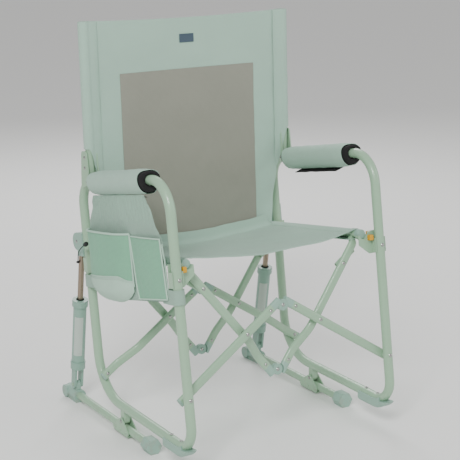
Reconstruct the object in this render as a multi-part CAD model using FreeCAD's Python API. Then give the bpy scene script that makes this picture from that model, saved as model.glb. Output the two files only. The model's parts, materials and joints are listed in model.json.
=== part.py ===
import FreeCAD, Part
import os
from math import atan2, cos, degrees, hypot, pi, radians, sin, tan

"""Camp rocking chair: two bent tube sides that stand on base bars through rocking
pivots and spring struts, joined by a front and a rear double scissor that fold flat.

Two sets of coordinates are used, both in millimetres with X across the chair.
Chair coordinates lie in the chair's own frame: Y runs rearward and Z up along the
posts, from the front lower arm pivot.  Floor coordinates have Z = 0 on the floor and
Y = 0 over the rocking pivots; place() leans chair coordinates back into them.
"""

# ---------------------------------------------------------------- driving dimensions
POST_X = 265.0            # side frame tube centre, from the middle of the chair
LEAN = 8.5                # degrees that the chair leans back on its base bars
ARM_PIVOT_HEIGHT = 184.0  # front lower arm pivot above the floor
ROCK_PIVOT_REAR = 311.0   # rocking pivot, behind the front face of the posts
ROCK_PIVOT_HEIGHT = 36.0

TUBE_R = 11.0             # side frame tube
TUBE_WALL = 1.2
POST_Y = 11.0             # front post centre
ARM_WIDE = 20.0           # flat-oval scissor arm
ARM_DEEP = 12.0
ARM_WALL = 1.2
RAIL_R = 9.0              # seat rail tube
BACK_R = 10.0             # back tube
BAR_R = 9.5               # base bar
SHEET = 2.5               # bracket sheet
PIN_R = 3.0               # pivot rivet shank
RUN = 0.05                # radial running clearance of a pivot
GAP = 0.3                 # clearance between parts that move past each other

# Scissor pivots, as (distance from the middle, height) in chair coordinates
ARM_FOOT = (POST_X, 0.0)
CROSSING = (97.0, 110.7)
UPPER_HUB = (0.0, 160.6)
LOWER_HUB = (0.0, 8.4)
STAY_RIVET = (185.0, 224.0)
SEAT_RAIL = (230.0, 286.0)
OPEN_PIVOT_PLAY = 3.5     # the lower hubs are left open in the joint tree

# Depth (Y) of each arm's middle: at its outer end, at the crossing and at its hub
FRONT_LOWER = (30.0, 30.0, 30.0)
REAR_LOWER = (405.0, 384.0, 384.0)
FRONT_UPPER = (50.0, 50.0, 75.0)
REAR_UPPER = (402.0, 402.0, 419.0)

RAIL_Y = (33.0, 409.0)    # seat rail, front and rear end
SADDLE_RIVET_Z = 258.0
CUP_RUN = 15.5            # depth of the saddle's cup under the rail's cap
BACK_FOOT = (382.0, 470.0)
BACK_TOP = (341.0, 812.0)
STRUT_TOP = (467.0, 313.0)          # strut's upper pivot, chair coordinates (Y, Z)
STRUT_FOOT = (261.0, 45.0)          # strut's lower pivot, floor coordinates (Y, Z)
BAR_Z = 17.0
BAR_FRONT = -132.0
BAR_REAR = 302.0
ARMREST_Y = (86.0, 360.0)
GLIDE_TOP = -113.0       # front lip of the foot glide
PAD_HALF = 27.0
COVER = 1.6
POCKET_X = 274.5          # pocket panel's inner face, from the middle
SIDES = {"left": -1, "right": 1}

V = FreeCAD.Vector
UP = V(0, 0, 1)
REAR = V(0, 1, 0)
ACROSS = V(1, 0, 0)


# ---------------------------------------------------------------- shape helpers
def place(shape):
    """Lean a shape from chair coordinates into floor coordinates."""
    shape.rotate(V(0, 0, 0), ACROSS, -LEAN)
    shape.translate(V(0, -ROCK_PIVOT_REAR, ARM_PIVOT_HEIGHT))
    return shape


def place_point(y, z):
    """Floor (Y, Z) of a point given in chair coordinates."""
    lean = radians(LEAN)
    return (y * cos(lean) + z * sin(lean) - ROCK_PIVOT_REAR,
            z * cos(lean) - y * sin(lean) + ARM_PIVOT_HEIGHT)


def mirrored(shape, side):
    """The right-hand shape itself, or its mirror image for the left side."""
    if SIDES[side] > 0:
        return shape
    return shape.mirror(V(0, 0, 0), ACROSS)


def joined(shapes):
    first, rest = shapes[0], shapes[1:]
    return first.fuse(rest).removeSplitter() if rest else first


def cylinder(start, axis, radius, length):
    return Part.makeCylinder(radius, length, start, axis)


def box(low, high):
    size = high - low
    return Part.makeBox(size.x, size.y, size.z, low)


def extruded(points, direction):
    """Prism over a closed outline of points."""
    wire = Part.makePolygon(points + [points[0]])
    return Part.Face(wire).extrude(direction)


def round_face(radius):
    """Profile maker for swept(): a disc."""
    def make(origin, tangent):
        return Part.Face(Part.Wire(Part.makeCircle(radius, origin, tangent)))
    return make


def stadium_wire(origin, wide_way, deep_way, wide, deep):
    """Flat-oval outline: straight across the width, half round at both ends."""
    half, r = (wide - deep) / 2, deep / 2
    corner = [origin + wide_way * (half * i) + deep_way * (r * j)
              for i, j in ((-1, -1), (1, -1), (1, 1), (-1, 1))]
    tips = [origin + wide_way * (half + r), origin - wide_way * (half + r)]
    return Part.Wire([
        Part.LineSegment(corner[0], corner[1]).toShape(),
        Part.Arc(corner[1], tips[0], corner[2]).toShape(),
        Part.LineSegment(corner[2], corner[3]).toShape(),
        Part.Arc(corner[3], tips[1], corner[0]).toShape()])


def oval_face(wide_way, wide, deep):
    """Profile maker for swept(): a flat oval whose width lies along wide_way."""
    def make(origin, tangent):
        deep_way = tangent.cross(wide_way)
        return Part.Face(stadium_wire(origin, wide_way, deep_way, wide, deep))
    return make


def swept(points, radii, make_face, closed=False):
    """Sweep a profile along straight runs joined by tangent arcs.

    radii holds one bend radius for each inner point, or for every point of a
    closed loop.
    """
    count = len(points)
    runs = count if closed else count - 1
    ways = [(points[(i + 1) % count] - points[i]).normalize() for i in range(runs)]
    bends = {}
    for i in range(count):
        if not closed and i in (0, count - 1):
            continue
        before, after = ways[i - 1], ways[i]
        turn = before.getAngle(after)
        radius = radii[i] if closed else radii[i - 1]
        bends[i] = (turn, radius, radius * tan(turn / 2))
    solids = []
    for i in range(runs):
        j = (i + 1) % count
        start = points[i] + ways[i] * (bends[i][2] if i in bends else 0)
        end = points[j] - ways[i] * (bends[j][2] if j in bends else 0)
        if (end - start).Length > 1e-6:
            solids.append(make_face(start, ways[i]).extrude(end - start))
        if j in bends:
            turn, radius, _ = bends[j]
            normal = ways[i].cross(ways[(i + 1) % count if closed else i + 1]).normalize()
            centre = end + normal.cross(ways[i]) * radius
            face = make_face(end, ways[i])
            solids.append(face.revolve(centre, normal, degrees(turn)))
    return joined(solids)


def round_tube(points, radii, radius, wall=TUBE_WALL, closed=False):
    """Hollow round tube along a path."""
    outer = swept(points, radii, round_face(radius), closed)
    return outer.cut(swept(points, radii, round_face(radius - wall), closed))


def oval_tube(points, radii, wide_way, wide, deep, wall=ARM_WALL):
    """Hollow flat-oval tube along a path."""
    outer = swept(points, radii, oval_face(wide_way, wide, deep))
    inner = swept(points, radii, oval_face(wide_way, wide - 2 * wall, deep - 2 * wall))
    return outer.cut(inner)


def plate(outline, rounding, thickness, axis):
    """Sheet plate: the rounded hull outline of (point, radius) pairs, thickened."""
    discs = [cylinder(p, axis, rounding, thickness) for p in outline]
    webs = []
    for a, b in zip(outline, outline[1:] + outline[:1]):
        way = (b - a).normalize().cross(axis)
        webs.append(extruded([a + way * rounding, b + way * rounding,
                              b - way * rounding, a - way * rounding], axis * thickness))
    inner = [extruded(outline, axis * thickness)] if len(outline) > 2 else []
    return joined(discs + webs[:1] if len(outline) == 2 else discs + webs + inner)


def dome(point, axis, radius=4.5, height=2.4):
    """Domed rivet head that sits on a surface at point and bulges along axis."""
    ball = (radius ** 2 + height ** 2) / (2 * height)
    sphere = Part.makeSphere(ball, point + axis * (height - ball))
    return sphere.common(cylinder(point, axis, ball, height + 1))


def rivet(start, axis, length, shank=PIN_R, head=4.5):
    """Shank of the given length with a dome on each end."""
    return joined([cylinder(start, axis, shank, length),
                   dome(start, axis * -1, head), dome(start + axis * length, axis, head)])


def drilled(shape, pins, radius):
    """Cut round holes: each pin is (start, axis, length)."""
    for start, axis, length in pins:
        shape = shape.cut(cylinder(start, axis, radius, length))
    return shape


# ---------------------------------------------------------------- scissor geometry
class ArmLine:
    """Straight axis of one scissor arm in the X-Z plane, for the right side.

    Distances run along the axis from the foot of the hub pivot upon it.
    """

    def __init__(self, inner, outer, hub):
        start, end = V(inner[0], 0, inner[1]), V(outer[0], 0, outer[1])
        self.way = (end - start).normalize()
        self.hub = V(hub[0], 0, hub[1])
        self.foot = start + self.way * (self.hub - start).dot(self.way)
        self.wide_way = self.way.cross(REAR).normalize()

    def at(self, distance, depth):
        return self.foot + self.way * distance + REAR * depth

    def along(self, pivot):
        return (V(pivot[0], 0, pivot[1]) - self.foot).dot(self.way)


LOWER = ArmLine(CROSSING, ARM_FOOT, UPPER_HUB)
UPPER = ArmLine(CROSSING, STAY_RIVET, LOWER_HUB)
HUB_R = 12.5
SOCKET = 24.0             # where an arm tube begins, from its hub pivot
PLUG = 20.0               # how far a fitting reaches into its tube


def depth_pins(pivot, depths):
    """Drilling line through an arm along Y at a pivot."""
    middle = V(pivot[0], 0, pivot[1])
    return [(middle + REAR * (d - ARM_DEEP), REAR, 2 * ARM_DEEP) for d in depths]


def lower_arm(depths):
    """Arm from its foot on the post up to the upper hub."""
    outer, crossing, _ = depths
    foot = LOWER.along(ARM_FOOT)
    if outer == crossing:
        points, radii = [LOWER.at(SOCKET, crossing), LOWER.at(foot + 10, outer)], []
    else:
        points = [LOWER.at(SOCKET, crossing), LOWER.at(foot - 92, crossing),
                  LOWER.at(foot - 34, outer), LOWER.at(foot + 10, outer)]
        radii = [60, 60]
    arm = oval_tube(points, radii, LOWER.wide_way, ARM_WIDE, ARM_DEEP)
    return drilled(arm, depth_pins(ARM_FOOT, [outer]) + depth_pins(CROSSING, [crossing]),
                   PIN_R + RUN)


def upper_arm(depths, rear):
    """Arm from the lower hub through the crossing up to the seat rail."""
    _, crossing, hub = depths
    back = -1 if rear else 1
    middle = UPPER.along(CROSSING)
    bend = UPPER.along(STAY_RIVET) + 54
    tip = UPPER.at(bend + 11, crossing + back * 13)
    points = [UPPER.at(SOCKET, hub), UPPER.at(middle - 82, hub), UPPER.at(middle - 26, crossing),
              UPPER.at(bend, crossing), tip]
    arm = oval_tube(points, [60, 60, 14], UPPER.wide_way, ARM_WIDE, ARM_DEEP)
    rail = cylinder(V(SEAT_RAIL[0], 0, SEAT_RAIL[1]), REAR, RAIL_R, 500)
    arm = arm.cut(rail)
    return drilled(arm, depth_pins(CROSSING, [crossing]) + depth_pins(STAY_RIVET, [crossing]),
                   PIN_R)


def hub_fitting(line, depth, layer, hole, room_gap):
    """Plastic end of an arm: half-thickness disc on the pivot, neck and tube plug."""
    half = ARM_DEEP / 2
    front = depth - half if layer == "front" else depth + GAP / 2
    disc = cylinder(line.hub + REAR * front, REAR, HUB_R, half - GAP / 2)
    neck = swept([line.at(0, depth), line.at(SOCKET, depth)], [],
                 oval_face(line.wide_way, ARM_WIDE, ARM_DEEP))
    other = depth - half - 1 if layer == "rear" else depth - GAP / 2
    room = cylinder(line.hub + REAR * other, REAR, HUB_R + room_gap, half + 1 + GAP / 2)
    inset = 2 * ARM_WALL + 0.1
    plug = swept([line.at(SOCKET, depth), line.at(SOCKET + PLUG, depth)], [],
                 oval_face(line.wide_way, ARM_WIDE - inset, ARM_DEEP - inset))
    body = joined([disc, neck]).cut(room)
    body = joined([body, plug])
    return drilled(body, [(line.hub + REAR * (depth - 20), REAR, 40)], hole)


def foot_cap(depth):
    """Plastic cap on the outer end of a lower arm."""
    start = LOWER.along(ARM_FOOT) + 10
    return swept([LOWER.at(start, depth), LOWER.at(start + 4, depth)], [],
                 oval_face(LOWER.wide_way, ARM_WIDE, ARM_DEEP - 0.4))


def insert_pin(line, depth):
    """Drilling line of the rivet that holds a fitting in its tube."""
    return (line.at(SOCKET + 8, depth - ARM_DEEP / 2), REAR, ARM_DEEP)


# ---------------------------------------------------------------- side frame
def loop_corners():
    """Corners of the side loop before rounding, as (Y, Z) in chair coordinates."""
    return [(POST_Y, -118), (443, -51), (436, 453), (POST_Y, 470)]


def loop_path(x):
    return [V(x, y, z) for y, z in loop_corners()]


LOOP_RADII = [50, 110, 58, 70]


def boss_fronts():
    """Depth where the front and rear lower arms meet their posts."""
    return (FRONT_LOWER[0] + ARM_DEEP / 2 + 0.4, REAR_LOWER[0] + ARM_DEEP / 2 + 0.4)


def side_frame():
    """Closed tube loop, the bosses for the arm feet and the lug of the rocking pivot."""
    solid = swept(loop_path(POST_X), LOOP_RADII, round_face(TUBE_R), closed=True)
    hollow = swept(loop_path(POST_X), LOOP_RADII, round_face(TUBE_R - TUBE_WALL), closed=True)
    rear_front = boss_fronts()[1]
    front_boss = cylinder(V(POST_X, POST_Y, 0), REAR, 6.5, FRONT_LOWER[0] - ARM_DEEP / 2 - POST_Y - 0.4)
    rear_boss = cylinder(V(POST_X, rear_front, 0), REAR, 6.5, 20)
    lean = radians(LEAN)
    pivot = rock_pivot()
    down = V(0, sin(lean), -cos(lean))
    top = pivot - down * 22
    lug = plate([pivot - ACROSS * 8, top - ACROSS * 8], 8.5, 16, ACROSS)
    frame = joined([solid, front_boss, rear_boss, lug]).cut(hollow)
    holes = [(V(POST_X, -2, 0), REAR, 40), (V(POST_X, 390, 0), REAR, 60),
             (V(POST_X, -2, SADDLE_RIVET_Z), REAR, 30),
             (V(POST_X, 420, SADDLE_RIVET_Z), REAR, 50)]
    frame = drilled(frame, holes, PIN_R)
    return drilled(frame, [(pivot - ACROSS * 30, ACROSS, 60)], PIN_R)


def rock_pivot(x=POST_X):
    """Rocking pivot in chair coordinates."""
    lean = radians(LEAN)
    y, z = ROCK_PIVOT_REAR, ROCK_PIVOT_HEIGHT - ARM_PIVOT_HEIGHT
    return V(x, y * cos(lean) - z * sin(lean), y * sin(lean) + z * cos(lean))


def rail_slope():
    (y0, z0), (y1, z1) = loop_corners()[:2]
    return V(0, y1 - y0, z1 - z0).normalize()


def foot_glide():
    """Plastic shoe under the front bottom bend, with a thicker sole."""
    way = rail_slope()
    corner = V(POST_X, *loop_corners()[0])
    start = corner + way * 112

    def shoe(origin, tangent):
        side_way = ACROSS
        deep_way = tangent.cross(side_way)
        if deep_way.z > 0 or (abs(deep_way.z) < 0.3 and deep_way.y > 0):
            deep_way = deep_way * -1
        outline = [origin + side_way * a + deep_way * b for a, b in
                   ((-14, -2), (-14, 15), (-10, 21), (10, 21), (14, 15), (14, -2))]
        return Part.Face(Part.makePolygon(outline + outline[:1]))

    full = swept([start, corner, corner + UP * 60], [50], shoe)
    tube = swept([start - way * -20, corner, corner + UP * 90], [50], round_face(TUBE_R + 0.1))
    lip_room = box(V(POST_X - 30, -60, GLIDE_TOP), V(POST_X + 30, 40, 0))
    return full.cut(tube).cut(lip_room)


def saddle(front):
    """Sheet bracket behind (or before) a post that carries the seat rail's cap."""
    post = POST_Y if front else rear_post_y(SEAT_RAIL[1])
    way = 1 if front else -1
    face = post + way * (TUBE_R + 0.3)
    inner = SEAT_RAIL[0] - 14
    outline = [V(x, face, z) for x, z in
               ((POST_X + 13, 240), (POST_X + 13, 292), (POST_X - 14, 292), (inner, 282),
                (inner, 262), (POST_X - 22, 240))]
    sheet = extruded(outline, REAR * (way * SHEET))
    rail = V(SEAT_RAIL[0], face, SEAT_RAIL[1])
    ring = cylinder(rail, REAR * way, 14.0, CUP_RUN)
    cup = ring.cut(cylinder(rail, REAR * way, 11.2, CUP_RUN))
    cup = cup.common(box(V(inner - 5, face - 30, 255), V(POST_X, face + 30, SEAT_RAIL[1] - 2)))
    sheet = sheet.cut(cylinder(rail, REAR * way, 11.2, CUP_RUN))
    wraps = []
    for x in (POST_X - 13.8, POST_X + 11.3):
        low, high = sorted([post - way * 4, face + way * SHEET])
        wraps.append(box(V(x, low, 242), V(x + SHEET, high, 276)))
    body = joined([sheet, cup] + wraps)
    return drilled(body, [(V(POST_X, -2, SADDLE_RIVET_Z), REAR, 480)], PIN_R)


def saddle_tab(front):
    """Small plastic latch tab on the saddle, beside the post."""
    post = POST_Y if front else rear_post_y(SEAT_RAIL[1])
    way = 1 if front else -1
    face = post + way * (TUBE_R + 0.3 + SHEET)
    low, high = sorted([face, face + way * 11])
    body = box(V(POST_X - 19, low, 272), V(POST_X - 1, high, 290))
    cup = cylinder(V(SEAT_RAIL[0], face, SEAT_RAIL[1]), REAR * way, 14.1, 20)
    return body.cut(cup)


def rear_post_y(z):
    (y0, z0), (y1, z1) = loop_corners()[1:3]
    return y0 + (y1 - y0) * (z - z0) / (z1 - z0)


def armrest_line():
    (y1, z1), (y0, z0) = loop_corners()[2:4]
    way = V(0, y1 - y0, z1 - z0).normalize()
    return V(POST_X, y0, z0), way


def pad_wire(origin, way, grow):
    """Armrest outline: flat top, round sides and a deeper underside."""
    up = ACROSS.cross(way)
    up = up if up.z > 0 else up * -1
    wide, high, low = PAD_HALF + grow, 20 + grow, 28 + grow
    p = [origin + ACROSS * a + up * b for a, b in
         ((-wide + 12, high), (wide - 12, high), (wide, 4), (wide - 9, -low),
          (-wide + 9, -low), (-wide, 4))]
    mids = [origin + ACROSS * a + up * b for a, b in ((wide - 3, high - 5), (-wide + 3, high - 5))]
    return Part.Wire([
        Part.LineSegment(p[0], p[1]).toShape(), Part.Arc(p[1], mids[0], p[2]).toShape(),
        Part.LineSegment(p[2], p[3]).toShape(), Part.LineSegment(p[3], p[4]).toShape(),
        Part.LineSegment(p[4], p[5]).toShape(), Part.Arc(p[5], mids[1], p[0]).toShape()])


def armrest_pad():
    """Foam sleeve around the top of the loop."""
    corner, way = armrest_line()
    start = corner + way * (ARMREST_Y[0] - POST_Y)
    length = ARMREST_Y[1] - ARMREST_Y[0]
    block = Part.Face(pad_wire(start, way, 0)).extrude(way * length)
    return block.cut(cylinder(start - way * 5, way, TUBE_R + 0.2, length + 10))


def armrest_cover():
    """Cloth sleeve over the foam, flush with it at both ends."""
    corner, way = armrest_line()
    start = corner + way * (ARMREST_Y[0] - POST_Y - 2)
    length = ARMREST_Y[1] - ARMREST_Y[0] + 4
    outer = Part.Face(pad_wire(start, way, COVER + 0.3)).extrude(way * length)
    inner = Part.Face(pad_wire(start, way, 0.3)).extrude(way * length)
    return outer.cut(inner)


# ---------------------------------------------------------------- back
def back_way():
    return V(0, BACK_TOP[0] - BACK_FOOT[0], BACK_TOP[1] - BACK_FOOT[1]).normalize()


def back_tube():
    start = V(POST_X, *BACK_FOOT)
    end = V(POST_X, *BACK_TOP)
    return round_tube([start, end], [], BACK_R)


def back_plates():
    """Pair of formed plates that clamp the back tube above the armrest tube."""
    plates = []
    for x, thick in ((POST_X - TUBE_R - 3.2, 3.0), (POST_X + TUBE_R + 0.2, 3.0)):
        corners = [V(x, 374, 458), V(x, 398, 452), V(x, 384, 518), V(x, 375, 518)]
        plates.append(plate(corners, 9, thick, ACROSS))
    return plates


def back_plate_rivets():
    length = 2 * TUBE_R + 6.4
    x = POST_X - length / 2
    return [(V(x, 380.5, 488), ACROSS, length), (V(x, 377, 512), ACROSS, length)]


def armrest_rivet():
    length = 2 * TUBE_R + 6.4
    return [(V(POST_X - length / 2, 376, 455.6), ACROSS, length)]


def back_sling():
    """Back panel with a sleeve over each back tube and tapered lower edges."""
    way = back_way()
    foot, top = V(0, *BACK_FOOT), V(0, *BACK_TOP) + way * 4
    sleeve_start = foot + way * 62
    panel_low = foot - way * 158
    normal = way.cross(ACROSS)
    half_low, half_mid, half_high = 212.0, 246.0, 262.0
    rows = ((panel_low, half_low), (foot + way * 60, half_mid), (sleeve_start, half_mid + 8),
            (top, half_high))
    right = [p + ACROSS * h for p, h in rows]
    left = [p - ACROSS * h for p, h in reversed(rows)]
    panel = extruded([p - normal * 1.5 for p in right + left], normal * 3)
    sleeves = []
    for side in SIDES.values():
        base = sleeve_start + ACROSS * (side * POST_X)
        length = (top - sleeve_start).Length
        outer = cylinder(base, way, BACK_R + 3.2, length)
        sleeves.append(outer)
    body = joined([panel] + sleeves)
    for side in SIDES.values():
        base = foot + ACROSS * (side * POST_X)
        body = body.cut(cylinder(base, way, BACK_R + 0.4, (V(0, *BACK_TOP) - foot).Length + 0.4))
    return body


# ---------------------------------------------------------------- seat
def seat_rail():
    rail = V(SEAT_RAIL[0], RAIL_Y[0], SEAT_RAIL[1])
    return round_tube([rail, rail + REAR * (RAIL_Y[1] - RAIL_Y[0])], [], RAIL_R)


def rail_caps():
    """Plastic cap over each end of the seat rail."""
    caps = []
    for y, way in ((RAIL_Y[0], -1), (RAIL_Y[1], 1)):
        end = V(SEAT_RAIL[0], y, SEAT_RAIL[1])
        outer = cylinder(end - REAR * (way * 11), REAR * way, 10.7, 14)
        outer = outer.makeFillet(1.2, [e for e in outer.Edges if len(e.Vertexes) == 1
                                       and abs(e.CenterOfMass.y - y - way * 3) < 0.1])
        caps.append(outer.cut(cylinder(end, REAR * -way, RAIL_R, 20)))
    return caps


def seat_sling():
    """Seat cloth from rail to rail, sagging in the middle."""
    x, z = SEAT_RAIL
    front, rear = RAIL_Y[0] + 18, RAIL_Y[1] - 18
    sag, cloth = 22.0, 3.0
    top, low = V(0, front, z + RAIL_R - sag), V(0, front, z + RAIL_R - sag - cloth)
    ends = [V(side * (x - 2), front, z + RAIL_R + 0.4) for side in (-1, 1)]
    under = [V(side * (x - 2), front, z + RAIL_R + 0.4 + cloth) for side in (-1, 1)]
    wire = Part.Wire([Part.Arc(ends[0], low, ends[1]).toShape(),
                      Part.LineSegment(ends[1], under[1]).toShape(),
                      Part.Arc(under[1], top, under[0]).toShape(),
                      Part.LineSegment(under[0], ends[0]).toShape()])
    cloths = [Part.Face(wire).extrude(REAR * (rear - front))]
    for side in (-1, 1):
        hem = V(side * x, front, z)
        ring = cylinder(hem, REAR, RAIL_R + 3.4, rear - front)
        cloths.append(ring.cut(box(V(side * x - 30, front - 1, z - 40),
                                   V(side * x + 30, rear + 1, z - 1))))
    body = joined(cloths)
    for side in (-1, 1):
        body = body.cut(cylinder(V(side * x, 0, z), REAR, RAIL_R + 0.4, 500))
    return body


def stay(depths, rear):
    """Short oval stay on an upper arm's inner face, from its rivet toward the saddle."""
    _, crossing, _ = depths
    inward = -1 if rear else 1
    depth = crossing + inward * (ARM_DEEP / 2 + GAP + 4.5)
    start = V(STAY_RIVET[0], depth, STAY_RIVET[1])
    way = V(45, 0, 31).normalize()
    body = oval_tube([start - way * 11, start + way * 46], [],
                     way.cross(REAR).normalize(), 16, 9, 1.5)
    return drilled(body, [(start - REAR * 20, REAR, 40)], PIN_R)


# ---------------------------------------------------------------- struts
def strut_length():
    y, z = place_point(*STRUT_TOP)
    return hypot(STRUT_FOOT[0] - y, STRUT_FOOT[1] - z)


def strut_tilt():
    """Degrees from vertical; the foot stands behind the top."""
    y, z = place_point(*STRUT_TOP)
    return degrees(atan2(STRUT_FOOT[0] - y, z - STRUT_FOOT[1]))


def place_strut(shape):
    """Strut parts are drawn hanging straight down from the upper pivot."""
    y, z = place_point(*STRUT_TOP)
    shape.rotate(V(0, 0, 0), ACROSS, strut_tilt())
    shape.translate(V(POST_X, y, z))
    return shape


ROD_R = 7.0
CYLINDER_R = 16.0
CYLINDER_BORE = 13.0
COLLAR_TOP = 154.0
CYLINDER_END = 340.0
PISTON = (236.0, 250.0)


def strut_rod():
    """Rod with its upper eye and the piston at its lower end."""
    eye = cylinder(V(-7.5, 0, 0), ACROSS, 10, 15)
    rod = cylinder(V(0, 0, 0), UP * -1, ROD_R, PISTON[1])
    piston = cylinder(V(0, 0, -PISTON[0]), UP * -1, CYLINDER_BORE - RUN, PISTON[1] - PISTON[0])
    return drilled(joined([rod, eye, piston]), [(V(-20, 0, 0), ACROSS, 40)], PIN_R + RUN)


def strut_cylinder():
    """Cylinder with its top collar, bottom collar and the fork below."""
    length = strut_length()
    outer = cylinder(V(0, 0, -COLLAR_TOP), UP * -1, CYLINDER_R, CYLINDER_END - COLLAR_TOP)
    top = cylinder(V(0, 0, -COLLAR_TOP), UP * -1, 19.0, 17)
    low = cylinder(V(0, 0, -CYLINDER_END + 20), UP * -1, 18.0, 20)
    ears = []
    for x in (-11.5, 6.0):
        blade = cylinder(V(x, 0, -length), ACROSS, 10.0, 5.5)
        neck = box(V(x, -10, -length), V(x + 5.5, 10, -CYLINDER_END + 1))
        ears += [blade, neck]
    body = joined([outer, top, low] + ears)
    body = body.cut(cylinder(V(0, 0, -COLLAR_TOP - 17), UP * -1, CYLINDER_BORE,
                             CYLINDER_END - COLLAR_TOP - 37))
    body = body.cut(cylinder(V(0, 0, -COLLAR_TOP + 1), UP * -1, ROD_R + RUN, 40))
    return drilled(body, [(V(-20, 0, -length), ACROSS, 40)], PIN_R + 1.4)


def strut_spring():
    """Coil spring between the piston and the closed end of the cylinder."""
    top, low = PISTON[1] + 0.3, CYLINDER_END - 20.3
    wire_r, turns = 1.6, 6
    radius = CYLINDER_BORE - wire_r - 0.5
    coils = []
    for i in range(turns):
        z = -top - wire_r - (low - top - 2 * wire_r) * i / (turns - 1)
        coils.append(Part.makeTorus(radius, wire_r, V(0, 0, z), UP))
    back = [cylinder(V(0, radius * s, -top - wire_r), UP * -1, 1.0, low - top - 2 * wire_r)
            for s in (-1, 1)]
    return joined(coils + back)


def strut_mount():
    """Plastic housing behind the rear post that holds the rod's eye."""
    y, z = STRUT_TOP
    post = rear_post_y(z)
    block = box(V(POST_X - 15, post, z - 34), V(POST_X + 15, y, z + 21))
    nose = cylinder(V(POST_X - 15, y, z), ACROSS, 21, 30)
    slot = box(V(POST_X - 8, y - 12, z - 40), V(POST_X + 8, y + 30, z + 13))
    body = joined([block, nose]).cut(slot)
    top, low = V(POST_X, rear_post_y(380), 380), V(POST_X, rear_post_y(240), 240)
    tube = cylinder(low, (top - low).normalize(), TUBE_R + 0.1, (top - low).Length)
    body = body.cut(tube)
    return drilled(body, [(V(POST_X - 30, y, z), ACROSS, 60)], PIN_R)


# ---------------------------------------------------------------- base
def base_bar():
    start = V(POST_X, BAR_FRONT, BAR_Z)
    bar = round_tube([start, V(POST_X, BAR_REAR, BAR_Z)], [], BAR_R)
    return drilled(bar, bracket_pins(), PIN_R - 1)


def base_ends():
    """Hexagonal front cap, and the rear knuckle with the tongue for the strut."""
    across = BAR_Z / cos(pi / 6)
    hexagon = [V(POST_X + across * cos(pi / 3 * i), BAR_FRONT - 8, BAR_Z + across * sin(pi / 3 * i))
               for i in range(6)]
    cap = extruded(hexagon, REAR * 32).cut(cylinder(V(POST_X, BAR_FRONT, BAR_Z), REAR, BAR_R, 100))
    y, z = STRUT_FOOT
    knuckle = cylinder(V(POST_X, BAR_REAR - 56, BAR_Z), REAR, 15.5, 62)
    sole = box(V(POST_X - 12, BAR_REAR - 56, 0), V(POST_X + 12, BAR_REAR + 6, BAR_Z))
    head = cylinder(V(POST_X - 17, BAR_REAR - 2, BAR_Z), ACROSS, 15.5, 34)
    tongue = plate([V(POST_X - 5.5, y, BAR_Z), V(POST_X - 5.5, y, z)], 8.5, 11, ACROSS)
    knuckle = joined([knuckle, sole, head, tongue])
    knuckle = knuckle.cut(cylinder(V(POST_X, BAR_FRONT, BAR_Z), REAR, BAR_R, BAR_REAR - BAR_FRONT))
    knuckle = drilled(knuckle, [(V(POST_X - 30, y, z), ACROSS, 60)], PIN_R)
    return [cap, knuckle]


def bracket_pins():
    """Cross rivets that hold the rocking bracket on the base bar."""
    return [(V(POST_X - 12.4, y, BAR_Z - 2), ACROSS, 24.8) for y in (-22, 4, 30)]


def rock_bracket():
    """U-shaped sheet bracket: two ears around the lug and a web under the bar."""
    ears = []
    for x in (POST_X - 12.4, POST_X + 9.9):
        corners = [V(x, 0, ROCK_PIVOT_HEIGHT), V(x, 34, 14), V(x, -26, 14)]
        ears.append(plate(corners, 8, SHEET, ACROSS))
    web = box(V(POST_X - 12.4, -30, 4.6), V(POST_X + 12.4, 38, 7.1))
    body = joined(ears + [web])
    body = drilled(body, bracket_pins(), PIN_R - 1)
    return drilled(body, [(V(POST_X - 20, 0, ROCK_PIVOT_HEIGHT), ACROSS, 40)], PIN_R + RUN)


# ---------------------------------------------------------------- pocket and cord
POCKET_TOP = 433.0


def pocket_outline(x, grow=0.0):
    """Organiser panel outline on a plane of constant X, chair coordinates."""
    corners = ((108, POCKET_TOP), (58, 330), (44, 214), (110, 206), (306, 190),
               (404, 204), (402, 330), (350, POCKET_TOP - 10.5))
    return [V(x, y, z) for y, z in corners]


def pocket_panel():
    """Hanging panel with the flat mesh pocket in front and a strap round each post."""
    x = -POCKET_X
    panel = extruded(pocket_outline(x), ACROSS * -2.0)
    mesh = extruded([V(x - 2.3, y, z) for y, z in
                     ((60, 326), (46, 216), (110, 208), (176, 204), (196, 338))], ACROSS * -1.6)
    straps = []
    for y, z, height, run in ((POST_Y, 205, 33, 46), (rear_post_y(220), 206, 30, -34)):
        foot = V(-POST_X, y, z)
        ring = cylinder(foot, UP, TUBE_R + 1.9, height)
        band = box(V(x - 1.4, min(y, y + run), z), V(x + 0.1, max(y, y + run), z + height))
        band.translate(V(1.6, 0, 0))
        strap = joined([ring, band]).cut(cylinder(foot - UP, UP, TUBE_R + 0.7, height + 2))
        straps.append(strap)
    return [panel, mesh] + straps


def drink_pocket():
    """Shallow cloth cup on the panel's outer face, open at the top."""
    x = -POCKET_X - 2.3
    top, low, rear, front, bulge, wall = 350.0, 192.0, 380.0, 204.0, 26.0, 2.0

    def block(inset, lift, head):
        y0, y1, b = front + inset, rear - inset, bulge - inset
        outline = [V(x, y0, low), V(x, y1, low), V(x - b * 0.75, y1 - 6, low),
                   V(x - b, y1 - 30, low), V(x - b, y0 + 30, low), V(x - b * 0.75, y0 + 6, low)]
        solid = extruded(outline, UP * (top - low + head))
        solid.translate(UP * lift)
        return solid

    inner = block(wall, wall, 10)
    inner.translate(ACROSS * -wall)
    inner = inner.common(block(wall, wall, 10))
    return block(0, 0, 0).cut(inner)


CORD_R = 1.1
CORD_POINTS = [(-290.0, 402.0, 310.0), (-288.0, 425.0, 303.0), (-287.0, 448.0, 290.0),
               (-281.0, 466.0, 276.0), (-276.0, 480.0, 262.0)]


def cord_path():
    return [V(*p) for p in CORD_POINTS]


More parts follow.
